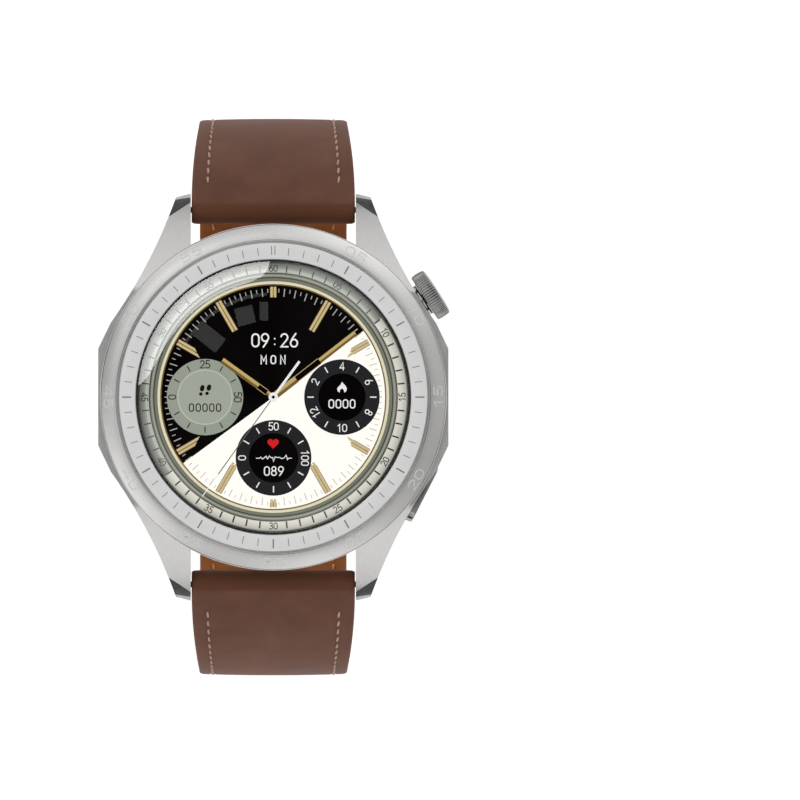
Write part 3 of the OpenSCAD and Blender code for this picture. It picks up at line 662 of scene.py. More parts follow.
glass_flat, glass_r = 15.2, 18.1
edge_w = glass_r - glass_flat
drop = 0.65
dome = (edge_w ** 2 + drop ** 2) / (2 * drop)
span = math.asin(edge_w / dome)
curve = [(glass_flat + dome * math.sin(span * i / 20), GLASS_TOP - dome * (1 - math.cos(span * i / 20)))
         for i in range(21)]
top = [(glass_flat * k / 12, GLASS_TOP) for k in range(12)]
rim = [(glass_r, GLASS_TOP - drop - 0.1), (glass_r, GLASS_LOW + 0.15), (glass_r - 0.15, GLASS_LOW)]
glass_profile = disc_profile(top + curve + rim + [(0, GLASS_LOW)])
outer_spans = len(top + curve) - 1
under = [0 if k < outer_spans else 1 for k in range(len(glass_profile))]
glass_piece = turned("glass_dome", glass_profile, GLASS_SEGMENTS, [glass, bonded], "case", ["cover_glass"],
                     "glass", under * GLASS_SEGMENTS)

gasket = rounded([(18.12, RING_SEAT), (RING_IN - 0.02, RING_SEAT), (RING_IN - 0.02, RING_TOP - 0.02),
                  (18.12, RING_TOP - 0.02)], 0.06)
turned("glass_seal", gasket, GLASS_SEGMENTS, rubber, "case", ["glass_gasket"], "seal_rubber")

# ------------------------------------------------------------------ display

SPLIT = 36.3  # bearing of the line between the black and cream halves, degrees
panel = rounded([(0.004, CASE_TOP + 0.5), (17.9, CASE_TOP + 0.5), (17.9, CASE_TOP + 0.98),
                 (0.004, CASE_TOP + 0.98)], 0.04)
turned("display_glass", panel, DISC_SEGMENTS, black, "case", ["display_panel"], "display")


def half_disc(r, start):
    return arc(0, 0, r, r, start, start + 180, 64), [tuple(range(65))]


def sub_ticks(cx, cy, r0, r1, w, skip):
    return [bar(r0, r1, w, 90 - 30 * h, cx, cy) for h in range(12) if h not in skip]


LEFT, RIGHT, LOW = (-9.1, 0.0), (9.15, 0.0), (0.03, -8.1)
dark_ticks, light_ticks, chapter_ticks = [], [], []
for m in range(60):
    angle = 90 - 6 * m
    on_dark = SPLIT < angle % 360 < SPLIT + 180
    ticks = dark_ticks if on_dark else light_ticks
    if m % 5 or m in (15, 45):
        ticks.append(bar(13.45, 14.5, 0.13, angle))
    ticks.append(bar(13.95, 14.45, 0.11, angle + 3))
    if m % 5:
        chapter_ticks.append(bar(16.55, 17.45, 0.15 if on_dark else 0.21, angle))
    elif m:
        chapter_ticks += on_ring(lettering(f"{m:02d}", 0.82, 0.74, 0.15), angle, 17.05, in_upper_half(m))
chapter_ticks += on_ring(lettering("60", 0.82, 0.74, 0.15), 90, 17.05)

bars_light, bars_dark = [], []
for hour in range(12):
    if hour in (3, 9):
        continue
    angle = 90 - 30 * hour
    r0 = {0: 13.3, 6: 13.6}.get(hour, 10.2 if hour in (1, 5, 7, 11) else 11.7)
    for side in (-1, 1):
        quad, f = bar(r0, 14.7, 0.34, angle, shift=side * 0.23)
        if hour in (2, 4, 8, 10):
            # the inner end is cut level, so the bar nearer 3 or 9 o'clock is the longer one
            c, s = math.cos(rad(angle)), math.sin(rad(angle))
            quad = list(quad)
            for i, v in ((0, side * 0.23 - 0.17), (3, side * 0.23 + 0.17)):
                level = 1 if s > 0 else -1
                u = r0 + level * v * (1.5 if c > 0 else -1.5)
                quad[i] = (u * c - v * s, u * s + v * c)
        bars_light.append((quad, f))
    bars_dark.append(bar(r0 + 0.3, 14.65, 0.1, angle))
    bars_dark += [bar(r0 + 0.5, 14.65, 0.07, angle, shift=side * 0.42) for side in (-1, 1)]

# the minute track darkens outward: (outer radius, inner radius, tone over black, tone over cream)
TRACK = [(16.92, 16.5, (172, 176, 168), (214, 212, 200)), (17.15, 16.92, (138, 142, 132), (205, 203, 192)),
         (17.38, 17.15, (118, 123, 113), (196, 194, 183)), (17.6, 17.38, (100, 105, 96), (182, 180, 168)),
         (17.74, 17.6, (74, 78, 70), (140, 138, 128))]
rings = [([annulus(0, 0, 17.9, 17.74)], ink, 0.02)]
for r_out, r_in, tone_black, tone_cream in TRACK:
    for start, tone, over in ((SPLIT, tone_black, "black"), (SPLIT + 180, tone_cream, "cream")):
        rings.append(([annulus(0, 0, r_out, r_in, start, start + 180)],
                      lit(f"track_{over}_{r_out:.1f}", tone), 0.02))
rings += [
    ([annulus(0, 0, 16.5, 15.42)], olive, 0.02),
    ([annulus(0, 0, 16.5, 16.34), annulus(0, 0, 15.94, 15.8)], olive_dark, 0.035),
    ([annulus(0, 0, 16.2, 16.06)], sage, 0.035),
    ([annulus(0, 0, 15.42, 15.08)], gold_pale, 0.02),
    ([annulus(0, 0, 15.08, 14.9)], gold_dark, 0.035),
    ([half_disc(15.04, SPLIT)], black, 0.02),
    ([half_disc(15.04, SPLIT + 180)], cream, 0.02),
    (chapter_ticks, ink, 0.04),
    (dark_ticks, grey, 0.05),
    (light_ticks, faint, 0.05),
    (bars_light, gold, 0.06),
    (bars_dark, gold_dark, 0.075),
]
FACE = CASE_TOP + 0.98
artwork("dial_face", rings, FACE, 0.008, "display")


def sub_dial(cx, cy, r, ring_mat, inner_r, inner_mat, mark_mat, numerals, ticks, line=None):
    """One round counter: its ring, inner disc, ticks and the numerals at their hours."""
    text = []
    for hour, figures, turn in numerals:
        a = rad(90 - 30 * hour)
        rr = (r + inner_r) / 2 + 0.02
        text += turned_to(lettering(figures, 1.0, 0.72, 0.13), cx + rr * math.cos(a),
                          cy + rr * math.sin(a), turn)
    layers = [([disc(cx, cy, r)], ring_mat, 0.085), ([disc(cx, cy, inner_r)], inner_mat, 0.1)]
    if line:
        layers.append(([annulus(cx, cy, inner_r + 0.06, inner_r - 0.06)], line, 0.115))
    layers.append((text + ticks, mark_mat, 0.115))
    return layers


left_ticks = sub_ticks(*LEFT, 3.95, 4.75, 0.14, (0, 3, 9))
right_ticks = sub_ticks(*RIGHT, 3.75, 4.6, 0.16, (0, 2, 4, 6, 8, 10))
low_ticks = sub_ticks(*LOW, 3.75, 4.6, 0.16, (0, 3, 9))
foot = [arc(-.28, .2, .2, .34, 0, 345, 18), arc(-.26, -.42, .16, .18, 0, 345, 14)]
prints = []
for mirror_x, drop_y in ((1, -0.1), (-1, 0.14)):
    for outline in foot:
        pts = [(mirror_x * x * 1.15, y + drop_y) for x, y in outline]
        prints.append((pts, [tuple(range(len(pts)))]))
flame = [(0, .72), (.2, .42), (.34, .3), (.5, -.08), (.44, -.42), (.24, -.6), (.2, -.3), (0, -.06),
         (-.2, -.3), (-.24, -.6), (-.44, -.42), (-.5, -.08), (-.3, .2), (-.16, .32)]
heart = [(16 * math.sin(t) ** 3 / 21, (13 * math.cos(t) - 5 * math.cos(2 * t) - 2 * math.cos(3 * t)
          - math.cos(4 * t)) / 21) for t in [2 * math.pi * i / 40 for i in range(40)]]
pulse = [(-2.3, 0), (-1.9, 0), (-1.7, .15), (-1.5, -.1), (-1.25, .05), (-1.0, .28), (-.8, -.08),
         (-.55, .3), (-.3, .05), (-.1, .1), (0, -.42), (.2, .18), (.5, .1), (.8, .12), (1.1, -.05),
         (1.4, .05), (1.7, .42), (1.85, -.18), (2.05, .02), (2.4, 0)]
counters = sub_dial(*LEFT, 5.09, sage, 3.62, sage_light, ink,
                    [(0, "25", 0), (3, "50", -90), (9, "0", 90)], left_ticks, sage_pale)
counters += sub_dial(*RIGHT, 5.04, charcoal, 3.15, black, white,
                     [(0, "4", 0), (2, "6", -60), (4, "8", -120), (6, "10", 0), (8, "12", 120),
                      (10, "2", 60)], right_ticks)
counters += sub_dial(*LOW, 5.05, charcoal, 3.3, black, white,
                     [(0, "50", 0), (3, "100", -90), (9, "0", 90)], low_ticks)
counters += [
    (turned_to(prints, LEFT[0], 0.95, -16, 1.3) + turned_to(lettering("00000", 1.05, 0.86, 0.14),
                                                           LEFT[0], -1.4, 0), ink, 0.125),
    ([moved((flame, [tuple(range(len(flame)))]), lambda u, v: (RIGHT[0] + u * 1.3, 1.25 + v * 1.1))]
     + turned_to(lettering("0000", 1.15, 0.82, 0.14), RIGHT[0], -0.9, 0)
     + turned_to(lettering("089", 1.2, 0.78, 0.13), LOW[0] + 0.05, LOW[1] - 1.75, 0)
     + turned_to([stroke(pulse, 0.11)], LOW[0], LOW[1] - 0.05, 0), white, 0.125),
    ([moved((heart, [tuple(range(len(heart)))]), lambda u, v: (LOW[0] - .05 + u, LOW[1] + 1.95 + v))],
     red, 0.125),
    (turned_to(lettering("09:26", 1.78, 0.72, 0.12, 0.95), 0.19, 7.57, 0)
     + turned_to(lettering("MON", 1.13, 1.13, 0.15), 0.0, 4.99, 0), white, 0.06),
]
artwork("dial_counters", counters, FACE, 0.008, "display")


def hand(angle, stretches, z_lift):
    """Layers of a baton hand; each stretch is (from, to, width, light or open)."""
    light, shade, hollow = [], [], []
    for r0, r1, w, solid in stretches:
        if solid:
            light.append(bar(r0, r1, w, angle))
            shade.append(bar(r0, r1, w * 0.46, angle, shift=-w * 0.27 * (1 if angle < 90 else -1)))
        else:
            for side in (-1, 1):
                light.append(bar(r0, r1, 0.09, angle, shift=side * (w / 2 - 0.045)))
            hollow.append(bar(r0, r1, w - 0.18, angle))
    return [(light, gold_hand, z_lift), (shade, gold_dark, z_lift + 0.012), (hollow, black, z_lift)]


hands = hand(144.3, [(0.2, 1.05, 0.62, True), (1.05, 2.45, 0.78, False), (2.45, 8.4, 0.78, True)], 0.145)
hands += hand(37.9, [(0.2, 3.9, 0.95, True), (3.9, 7.85, 0.9, False), (7.85, 13.9, 0.72, True)], 0.175)
hands += [
    ([bar(0, 5.9, 0.34, math.degrees(math.atan2(35.6, 26.1)))], white, 0.205),
    ([bar(0, 12.6, 0.13, math.degrees(math.atan2(-98.9, -70.6)))], slate, 0.205),
    ([bar(12.6, 16.2, 0.12, math.degrees(math.atan2(-98.9, -70.6)))], white, 0.205),
    ([disc(0, 0, 0.62, 40)], white, 0.22), ([disc(0, 0, 0.21, 24)], black, 0.235),
]
artwork("dial_hands", hands, FACE, 0.008, "display")

# ------------------------------------------------------------------ crown and button

FLUTES = 60


def flute(a, r, z):
    """Rounded ribs on the knob's barrel, dying out at its ends."""
    if r < 3.0:
        return r
    fade = min(1, max(0, (z - 24.1) / 0.15)) * min(1, max(0, (25.94 - z) / 0.15))
    rib = abs(math.sin(a * FLUTES / 2)) ** 0.7
    return r - 0.17 * fade * (1 - rib)


barrel = [(3.24 + 0.16 * math.sin(math.pi * t) ** 0.35 if 0 < t < 1 else 3.24, 24.08 + 1.87 * t)
          for t in [i / 16 for i in range(17)]]
knob = [(0.0, 24.55), (2.3, 24.55), (2.44, 24.5), (2.45, 24.12), (2.52, 24.05), (3.16, 24.05)] + barrel + [
    (3.12, 26.03), (2.85, 26.1), (2.34, 26.1), (2.3, 26.04), (2.28, 25.85), (0.0, 25.85)]
turned("crown_body", disc_profile(knob), FLUTES * 6, crown_steel, "crown", ["crown_knob"], "crown_steel",
       place=radial_place(CROWN, MID_Z), wave=flute)
cap = [(0.0, 25.85), (2.24, 25.85), (2.26, 26.08), (2.1, 26.2), (1.4, 26.22), (1.32, 26.17),
       (1.2, 26.17), (1.12, 26.22), (0.0, 26.22)]
turned("crown_end", disc_profile(cap), 96, bright_steel, "crown", ["crown_cap"], "crown_steel",
       place=radial_place(CROWN, MID_Z))


def stadium_loop(length, width, n=14):
    half = (length - width) / 2
    return [(half + width / 2 * math.cos(rad(a)), width / 2 * math.sin(rad(a)))
            for a in [-90 + 180 * i / n for i in range(n + 1)]] + [
        (-half + width / 2 * math.cos(rad(a)), width / 2 * math.sin(rad(a)))
        for a in [90 + 180 * i / n for i in range(n + 1)]]


def loft(loops):
    """Closed solid through equal loops of 3-D points."""
    n = len(loops[0])
    verts = [p for loop in loops for p in loop]
    faces = [(i * n + k, i * n + (k + 1) % n, (i + 1) * n + (k + 1) % n, (i + 1) * n + k)
             for i in range(len(loops) - 1) for k in range(n)]
    faces.append(tuple(range(n)))
    faces.append(tuple(range(len(verts) - n, len(verts))))
    return verts, faces


button_levels = [(22.36, 0.0), (23.75, 0.0), (23.88, 0.03), (23.97, 0.1), (24.03, 0.22), (24.05, 0.4),
                 (24.05, 0.8), (24.03, 0.95), (24.03, 1.15)]
place = radial_place(-FLANK, MID_Z)
loops = [[tuple(place @ Vector((v, u - 2.45, z))) for u, v in stadium_loop(8.2 - 2 * rim, 2.8 - 2 * rim)]
         for z, rim in button_levels]
verts, faces = loft(loops)
piece("button_cap", verts, faces, crown_steel, "button", ["side_button"], "crown_steel")

# ------------------------------------------------------------------ strap

BAR_Y, BAR_Z, HEADING, BEND, TAIL_BEND = 25.0, 1.7, 39.5, 30.0, 54.0
SHORT, LONG, LUG_T, THIN, BARREL = 70.0, 112.0, 3.8, 2.4, 3.7
WIDE, NARROW, LEATHER, WRAP, TIP = 21.8, 19.8, 1.0, 6.0, 11.0
HOLES, HOLE_PITCH, HOLE_R, HOLE_SIDES = 7, 6.5, 1.0, 28
LAY_STEP, STITCH_PITCH, FIRST_STITCH = 0.8, 1.75, 0.85
SIDE = BEND * rad(90 - HEADING)
PATHS = {True: [(BEND, SHORT)], False: [(BEND, SIDE), (TAIL_BEND, LONG - SIDE)]}


def along(short, s):
    """(y, z, heading) of the strap's centre line at s millimetres from the spring bar."""
    y, z, h = BAR_Y, BAR_Z, HEADING
    path = PATHS[short]
    for i, (r, length) in enumerate(path):
        go = s if i == len(path) - 1 else min(s, length)
        g = h + math.degrees(go / r)
        y, z = y + r * (math.sin(rad(g)) - math.sin(rad(h))), z + r * (math.cos(rad(g)) - math.cos(rad(h)))
        h = g
        s -= go
        if s <= 0:
            break
    return y, z, h


def ease(x):
    return 0 if x <= 0 else 1 if x >= 1 else x * x * (3 - 2 * x)


def thick(s, short):
    t = THIN + (LUG_T - THIN) * max(0, 1 - s / 30) ** 1.3
    return t + ((BARREL - THIN) * ease((s - SHORT + 5) / 4) if short else 0)


def half_w(s, short):
    w = NARROW / 2 + (WIDE - NARROW) / 2 * (1 - ease(s / 24))
    x = 0 if short else max(0, (s - LONG + TIP) / TIP)
    return w * max(0.003, 1 - x ** 2.2) ** (1 / 2.2)


def point(short, s, off, x=0.0, mirror=1):
    """A place on the strap: off is the height above the centre line."""
    y, z, h = along(short, s)
    return Vector((x, mirror * (y + off * math.sin(rad(h))), z + off * math.cos(rad(h))))


def ahead_of(short, s, mirror):
    """The direction along the strap, away from the case."""
    h = along(short, s)[2]
    return Vector((0, mirror * math.cos(rad(h)), -math.sin(rad(h))))


def up_from(short, s, mirror=1, face=1):
    return (point(short, s, face, 0, mirror) - point(short, s, 0, 0, mirror)).normalized()


def lay(short, start, stop, off, flip=False):
    """Stations (y, z, ny, nz, half width, s) along one face of the strap."""
    n = max(2, math.ceil(abs(stop - start) / LAY_STEP))
    out = []
    for i in range(n + 1):
        s = start + (stop - start) * i / n
        y, z, h = along(short, s)
        d = off(s)
        ny, nz = math.sin(rad(h)), math.cos(rad(h))
        k = -1 if flip else 1
        out.append((y + d * ny, z + d * nz, k * ny, k * nz, half_w(s, short), s))
    return out


def wrap(short, s, r, start, stop):
    y, z, h = along(short, s)
    out = []
    for i in range(1, 12):
        g = h + start + (stop - start) * i / 12
        out.append((y + r * math.sin(rad(g)), z + r * math.cos(rad(g)), math.sin(rad(g)),
                    math.cos(rad(g)), half_w(s, short), s))
    return out


def inset(s):
    """Distance of the seam from the strap's edge."""
    return 2.1 - 0.3 * ease(s / 24)


ACROSS = [0.0, 0.06, 0.2, 0.45, 0.8, 1.2, 1.5, 1.72, 1.9, 2.1, 2.3, 2.48, 2.7, 3.0, 3.5, 4.3, 5.6, 7.4]


def skin(stations, crown, groove, mirror):
    """Even leather, crowned on its outer side, dipped along the stitch rows and thin at its ends."""
    loops = []
    total = len(stations)
    t = LEATHER
    for i, (y, z, ny, nz, w, s) in enumerate(stations):
        xs = [-w + d * min(1, w / 10) for d in ACROSS] + [0.0]
        xs += [-x for x in reversed(xs[:-1])]
        squash = 0.35 if i in (0, total - 1) else 0.9 if i in (1, total - 2) else 1.0
        loop = []
        for x in xs:
            d = w - abs(x)
            round_off = 0.2 * max(0, 1 - d / 0.4) ** 2 + 0.06 * max(0, 1 - d / 1.4) ** 2
            dip = groove * math.exp(-((d - inset(s)) / 0.26) ** 2) if 3.0 < s else 0
            h = t / 2 + crown(s) * (1 - (x / w) ** 2) - round_off - dip
            loop.append((x, h * squash))
        for x in reversed(xs[::3] if xs[-1] == xs[::3][-1] else xs[::3] + [xs[-1]]):
            d = w - abs(x)
            loop.append((x, (-t / 2 + 0.2 * max(0, 1 - d / 0.4) ** 2) * squash))
        loops.append([(x, mirror * (y + h * ny), z + h * nz) for x, h in loop])
    return loft(loops)


def fullness(s):
    """How far the outer leather stands crowned in its middle."""
    return 0.22 * ease((s - 1) / 5) * (1 - 0.5 * ease(s / 60))


def cut(obj, cutters):
    """Cuts closed shapes out of a piece, and keeps the result as its mesh."""
    mesh = bpy.data.meshes.new("cutter")
    verts, faces = [], []
    for v, f in cutters:
        faces += [tuple(len(verts) + i for i in face) for face in f]
        verts += [[c * MM for c in q] for q in v]
    mesh.from_pydata(verts, [], faces)
    turn_outward(mesh)
    tool = add_object("cutter", mesh)
    mod = obj.modifiers.new("cut", "BOOLEAN")
    mod.object = tool
    mod.solver = "EXACT"
    bpy.context.view_layer.update()
    done = bpy.data.meshes.new_from_object(obj.evaluated_get(bpy.context.evaluated_depsgraph_get()))
    obj.modifiers.clear()
    obj.data = done
    bpy.data.objects.remove(tool)
    smooth(done)


def peg(s, mirror):
    """A round punch through the holed strap at s."""
    t = ahead_of(False, s, mirror)
    angles = [2 * math.pi * i / HOLE_SIDES for i in range(HOLE_SIDES)]
    return loft([[tuple(point(False, s, off, 0, mirror) + Vector((HOLE_R * math.cos(a), 0, 0))
                        + t * (HOLE_R * math.sin(a))) for a in angles] for off in (-4, 4)])


def block(short, s, half_x, back, front, low, high, mirror, x0=0.0):
    """A square punch through the strap, from back to front along it."""
    t = ahead_of(short, s, mirror)
    return loft([[tuple(point(short, s, off, x0 + sx * half_x, mirror) + t * d)
                  for sx, d in ((-1, back), (1, back), (1, front), (-1, front))] for off in (low, high)])


def build_strap(tag, short, mirror):
    body = "strap_" + tag
    length = SHORT if short else LONG

    def off(s):
        return (thick(s, short) - LEATHER) / 2

    def under(s):
        return -off(s)
    stations = lay(short, WRAP, 0, under, True)
    stations += wrap(short, 0, off(0), -180, 0)
    stations += lay(short, 0, length, off)
    if short:
        stations += wrap(short, length, off(length), 0, 180)
        stations += lay(short, length, length - WRAP, under, True)
    verts, faces = skin(stations, fullness, 0.16, mirror)
    outer = piece(f"strap_{tag}_leather", verts, faces, brown, body, [f"strap_{tag}_top"], "leather_brown")
    stop = length - WRAP if short else length
    verts, faces = skin(lay(short, WRAP + 0.1, stop - 0.1, under, True), lambda s: 0.0, 0.1, mirror)
    inner = piece(f"strap_{tag}_inner", verts, faces, amber, body, [f"strap_{tag}_lining"], "leather_amber")
    loops = []
    last = length - 2.5 if short else length - 0.5
    count = int(last / 1.2)
    for i in range(count + 1):
        s = 1.9 + (last - 1.9) * i / count
        half = thick(s, short) / 2 - LEATHER + 0.05
        w = half_w(s, short)
        profile = [(w - 0.32, -half), (w - 0.12, -half * 0.6), (w - 0.07, 0), (w - 0.12, half * 0.6),
                   (w - 0.32, half)]
        profile += [(-x, h) for x, h in reversed(profile)]
        loops.append([tuple(point(short, s, h, x, mirror)) for x, h in profile])
    verts, faces = loft(loops)
    middle = piece(f"strap_{tag}_edge", verts, faces, edge_paint, body, [f"strap_{tag}_core"],
                   "strap_filler")
    slot_cut = [block(short, 0, 2.0, -0.8, 0.8, -3.4, -0.7, mirror, -5.9)]
    if short:
        tongue = [block(short, length, 1.65, -3.4, 4, -4, 4, mirror)]
        cut(outer, slot_cut + tongue)
        cut(middle, tongue)
    else:
        places = [LONG - 17 - i * HOLE_PITCH for i in range(HOLES)]
        pegs = [peg(s, mirror) for s in places]
        cut(outer, slot_cut + pegs)
        cut(inner, pegs)
        cut(middle, pegs)
        # a burnished lip round each hole
        verts, faces = [], []
        for s in places:
            t = ahead_of(short, s, mirror)
            up = up_from(short, s, mirror)
            base = point(short, s, thick(s, short) / 2 + fullness(s), 0, mirror)
            first, sides = len(verts), 8
            for i in range(HOLE_SIDES):
                a = 2 * math.pi * i / HOLE_SIDES
                out = Vector((math.cos(a), 0, 0)) + t * math.sin(a)
                for j in range(sides):
                    b = 2 * math.pi * j / sides
                    verts.append(tuple(base + out * (1.07 + 0.1 * math.cos(b)) + up * (0.07 * math.sin(b))))
            faces += tube(HOLE_SIDES, sides, first)
        piece(f"strap_{tag}_hole_lips", verts, faces, edge_paint, body, (), "leather_brown")
    stitch_rows(tag, short, mirror, body)


def stitch(verts, faces, at, way, up, length, r):
    """One thread stitch: a slim bead whose ends dive into the leather."""
    side = way.cross(up).normalized()
    first = len(verts)
    rings, k = 7, 8
    for i in range(rings):
        t = i / (rings - 1) * 2 - 1
        swell = max(0.12, (1 - abs(t) ** 3.2)) ** 0.5
        height = 0.1 * (1 - t * t) - 0.16 * abs(t) ** 6
        centre = at + way * (t * length / 2) + up * height
        for j in range(k):
            a = 2 * math.pi * j / k
            twist = 1 + 0.08 * math.cos(3 * a + t * 5)
            verts.append(tuple(centre + (side * math.cos(a) + up * math.sin(a) * 0.75) * r * swell * twist))
    faces += tube(rings, k, first, closed=False)
    faces.append(tuple(first + j for j in range(k)))
    faces.append(tuple(first + (rings - 1) * k + j for j in range(k)))


def stitch_line(short):
    """The seam's plan as (x, s) points, up one side and, on the holed piece, round its tip."""
    if short:
        return [(half_w(s, True) - inset(s), s) for s in [3.0 + 0.5 * i for i in range(122)]]
    ys = [3.0 + 0.5 * i for i in range(int((LONG - TIP - 3) / 0.5))]
    run = [(half_w(s, False) - inset(s), s) for s in ys]
    w = NARROW / 2 - inset(LONG)
    reach = TIP - inset(LONG)
    for i in range(1, 41):
        a = rad(90 * i / 40)
        run.append((w * math.cos(a) ** (2 / 2.2), LONG - TIP + reach * math.sin(a) ** (2 / 2.2)))
    return run


def stitch_rows(tag, short, mirror, body):
    """Both seams, on the outer side and on the lining beyond the turned-in end."""
    verts, faces, shades = [], [], []
    run = stitch_line(short)
    for side in (-1, 1):
        left = FIRST_STITCH
        for (xa, sa), (xb, sb) in zip(run, run[1:]):
            seg = math.hypot(xb - xa, sb - sa)
            while seg > 0 and left <= seg:
                f = left / seg
                x, s = xa + (xb - xa) * f, sa + (sb - sa) * f
                if s > (SHORT - 7 if short else LONG):
                    break
                for face in (1, -1):
                    if face < 0 and s < WRAP + 1.2:
                        continue
                    lift_off = face * (thick(s, short) / 2 - 0.08) + (0.02 if face > 0 else 0)
                    at = point(short, s, lift_off, side * x, mirror)
                    ahead = point(short, s + (sb - sa) / seg * 0.3, lift_off,
                                  side * (x + (xb - xa) / seg * 0.3), mirror)
                    up = up_from(short, s, mirror, face)
                    way = (ahead - at).normalized()
                    slant = way + way.cross(up) * random.uniform(0.06, 0.14) * side
                    stitch(verts, faces, at, slant.normalized(), up, random.uniform(1.22, 1.34),
                           random.uniform(0.15, 0.17))
                    shades += [0 if face > 0 else 1] * (len(faces) - len(shades))
                left += STITCH_PITCH
            left -= seg
    piece(f"strap_{tag}_thread", verts, faces, [thread, amber_thread], body, (), "strap_filler", shades)


build_strap("12", True, 1)
build_strap("6", False, -1)


def keeper(name, body, s0, node_name):
    """A flattened leather loop round the strap, four millimetres long, with a seam at each rim."""
    low, high = -THIN / 2 - 0.16, THIN * 1.5 + 0.08
    half = NARROW / 2 + 0.05
    t = 0.79
    corner = 0.7
    mid = []
    for cx, cz, a0 in ((half - corner, high - corner, 0), (-half + corner, high - corner, 90),
                       (-half + corner, low + corner, 180), (half - corner, low + corner, 270)):
        for i in range(7):
            a = rad(a0 + 90 * i / 6)
            mid.append((cx + corner * math.cos(a), cz + corner * math.sin(a), math.cos(a), math.sin(a)))
    dense = []
    for i, p in enumerate(mid):
        q = mid[(i + 1) % len(mid)]
        gap = math.hypot(q[0] - p[0], q[1] - p[1])
        steps = max(1, int(gap / 1.2))
        for k in range(steps):
            f = k / steps
            dense.append(tuple(p[j] + (q[j] - p[j]) * f for j in range(4)))
    # the band's own section: (along the strap, outward)
    band = rounded([(0, 0), (4, 0), (4, t - 0.1), (3.2, t - 0.03), (2, t), (0.8, t - 0.03), (0, t - 0.1)],
                   0.28, 4)
    verts = []
    for x, z, nx, nz in dense:
        size = math.hypot(nx, nz)
        for u, v in band:
            verts.append(tuple(point(True, s0 + u, z + nz / size * v, x + nx / size * v)))
    piece(name, verts, tube(len(dense), len(band)), brown, body, [node_name], "leather_brown")
    verts, faces = [], []
    for u in (0.75, 3.25):
        for i in range(11):
            x = (i - 5) * STITCH_PITCH
            at = point(True, s0 + u, high + t - 0.08, x)
            stitch(verts, faces, at, Vector((1, 0, 0)), up_from(True, s0 + u), 1.2, 0.15)
    piece(name + "_thread", verts, faces, thread, body, (), "strap_filler")


keeper("keeper_fixed", "strap_12", 60.0, "fixed_keeper")
keeper("keeper_sliding", "keeper", 49.0, "sliding_keeper")

finish_cad("buckle_frame", brushed("buckle_brushed", STEEL, 0.28, (0.15, 9, 9), 0.2), 0.3, bright_steel)
finish_cad("buckle_tongue", bright_steel, 0.22)
finish_cad("buckle_bar", inner_steel, 0.05)
for tag in ("12", "6"):
    finish_cad("spring_bar_" + tag, inner_steel, 0.03)
    finish_cad("release_pin_" + tag, bright_steel, 0.04)
    finish_cad("release_spring_" + tag, inner_steel)

# ------------------------------------------------------------------ back of the watch

finish_cad("back_cover", satin_black, 0.06)
finish_cad("back_screws", bright_steel, 0.03)
crystal = rounded([(0.004, 0.0), (12.4, 0.0), (14.1, 0.5), (14.1, 1.25), (0.004, 1.25)], 0.12)
turned("back_dome", crystal, DISC_SEGMENTS, ceramic, "case", ["back_crystal"], "back_glass")
window_glass = material("sensor_window", (0.03, 0.012, 0.012), 0.08, Coat_Weight=0.6)
emitter = material("sensor_emitter", (0.02, 0.10, 0.05), 0.2, Coat_Weight=0.6)
windows = [disc(4.2 * math.cos(rad(a)), 4.2 * math.sin(rad(a)), 1.1, 40) for a in range(0, 360, 90)]
artwork("sensor_windows", [(windows, window_glass, 0), ([disc(0, 0, 1.1, 40)], emitter, 0),
                           ([annulus(0, 0, 7.0, 6.82), annulus(0, 0, 11.9, 11.8)], satin_black, 0)],
        0.0, 0.02, "back_glass")

# ------------------------------------------------------------------ inner works

inside = {
    "display_bracket": black_plastic, "display_flex": copper, "back_gasket": rubber,
    "sensor_board": board, "light_shield": black_plastic, "charging_coil": copper,
    "coil_ferrite": satin_black, "chassis": black_plastic, "battery": inner_steel,
    "main_board": board, "shield_cans": inner_steel, "board_screws": inner_steel,
    "speaker": black_plastic, "speaker_mesh": inner_steel, "microphone": copper,
    "motor_can": inner_steel, "motor_shaft": bright_steel, "motor_weight": inner_steel,
    "crown_tube": bright_steel, "crown_switch": black_plastic, "crown_pusher": black_plastic,
    "crown_stem": bright_steel, "crown_clip": bright_steel, "crown_encoder": copper,
    "crown_seal": rubber, "button_stems": bright_steel, "button_clips": bright_steel,
    "button_yoke": inner_steel, "button_switch": black_plastic,
}
for name, mat in inside.items():
    finish_cad(name, mat)

# ------------------------------------------------------------------ floor, light and camera

FLOOR_M, FLOOR_STEPS, FLOOR_GAP = 6.0, 24, 0.0006
floor_mat = material("floor", (0.95, 0.95, 0.95), 0.9, Emission_Strength=0.55, Emission_Color=(1, 1, 1, 1))
row = FLOOR_STEPS + 1
grid = [(FLOOR_M * (i / FLOOR_STEPS - 0.5), FLOOR_M * (j / FLOOR_STEPS - 0.5), cad_box[0][2] - FLOOR_GAP)
        for i in range(row) for j in range(row)]
mesh = bpy.data.meshes.new("floor")
mesh.from_pydata(grid, [], [(i * row + j, (i + 1) * row + j, (i + 1) * row + j + 1, i * row + j + 1)
                            for i in range(FLOOR_STEPS) for j in range(FLOOR_STEPS)])
mesh.materials.append(floor_mat)
add_object("floor", mesh)

world = bpy.data.worlds.new("studio")
bpy.context.scene.world = world
world.use_nodes = True
background = world.node_tree.nodes["Background"]
coords = node(world, "ShaderNodeTexCoord")
split = node(world, "ShaderNodeSeparateXYZ")
link(world, coords.outputs["Generated"], split.inputs[0])
# the sky's brightness from straight down to straight up, darkest low down and near the zenith
SKY = [(0.0, 0.0), (0.52, 0.03), (0.66, 0.12), (0.76, 1.0), (0.965, 1.0), (0.988, 0.5), (0.9985, 0.02)]
height = node(world, "ShaderNodeMapRange", **{"From Min": -1})
link(world, split.outputs["Z"], height.inputs["Value"])
sky = ramp(world, height.outputs["Result"], [(place, (value,)) for place, value in SKY])
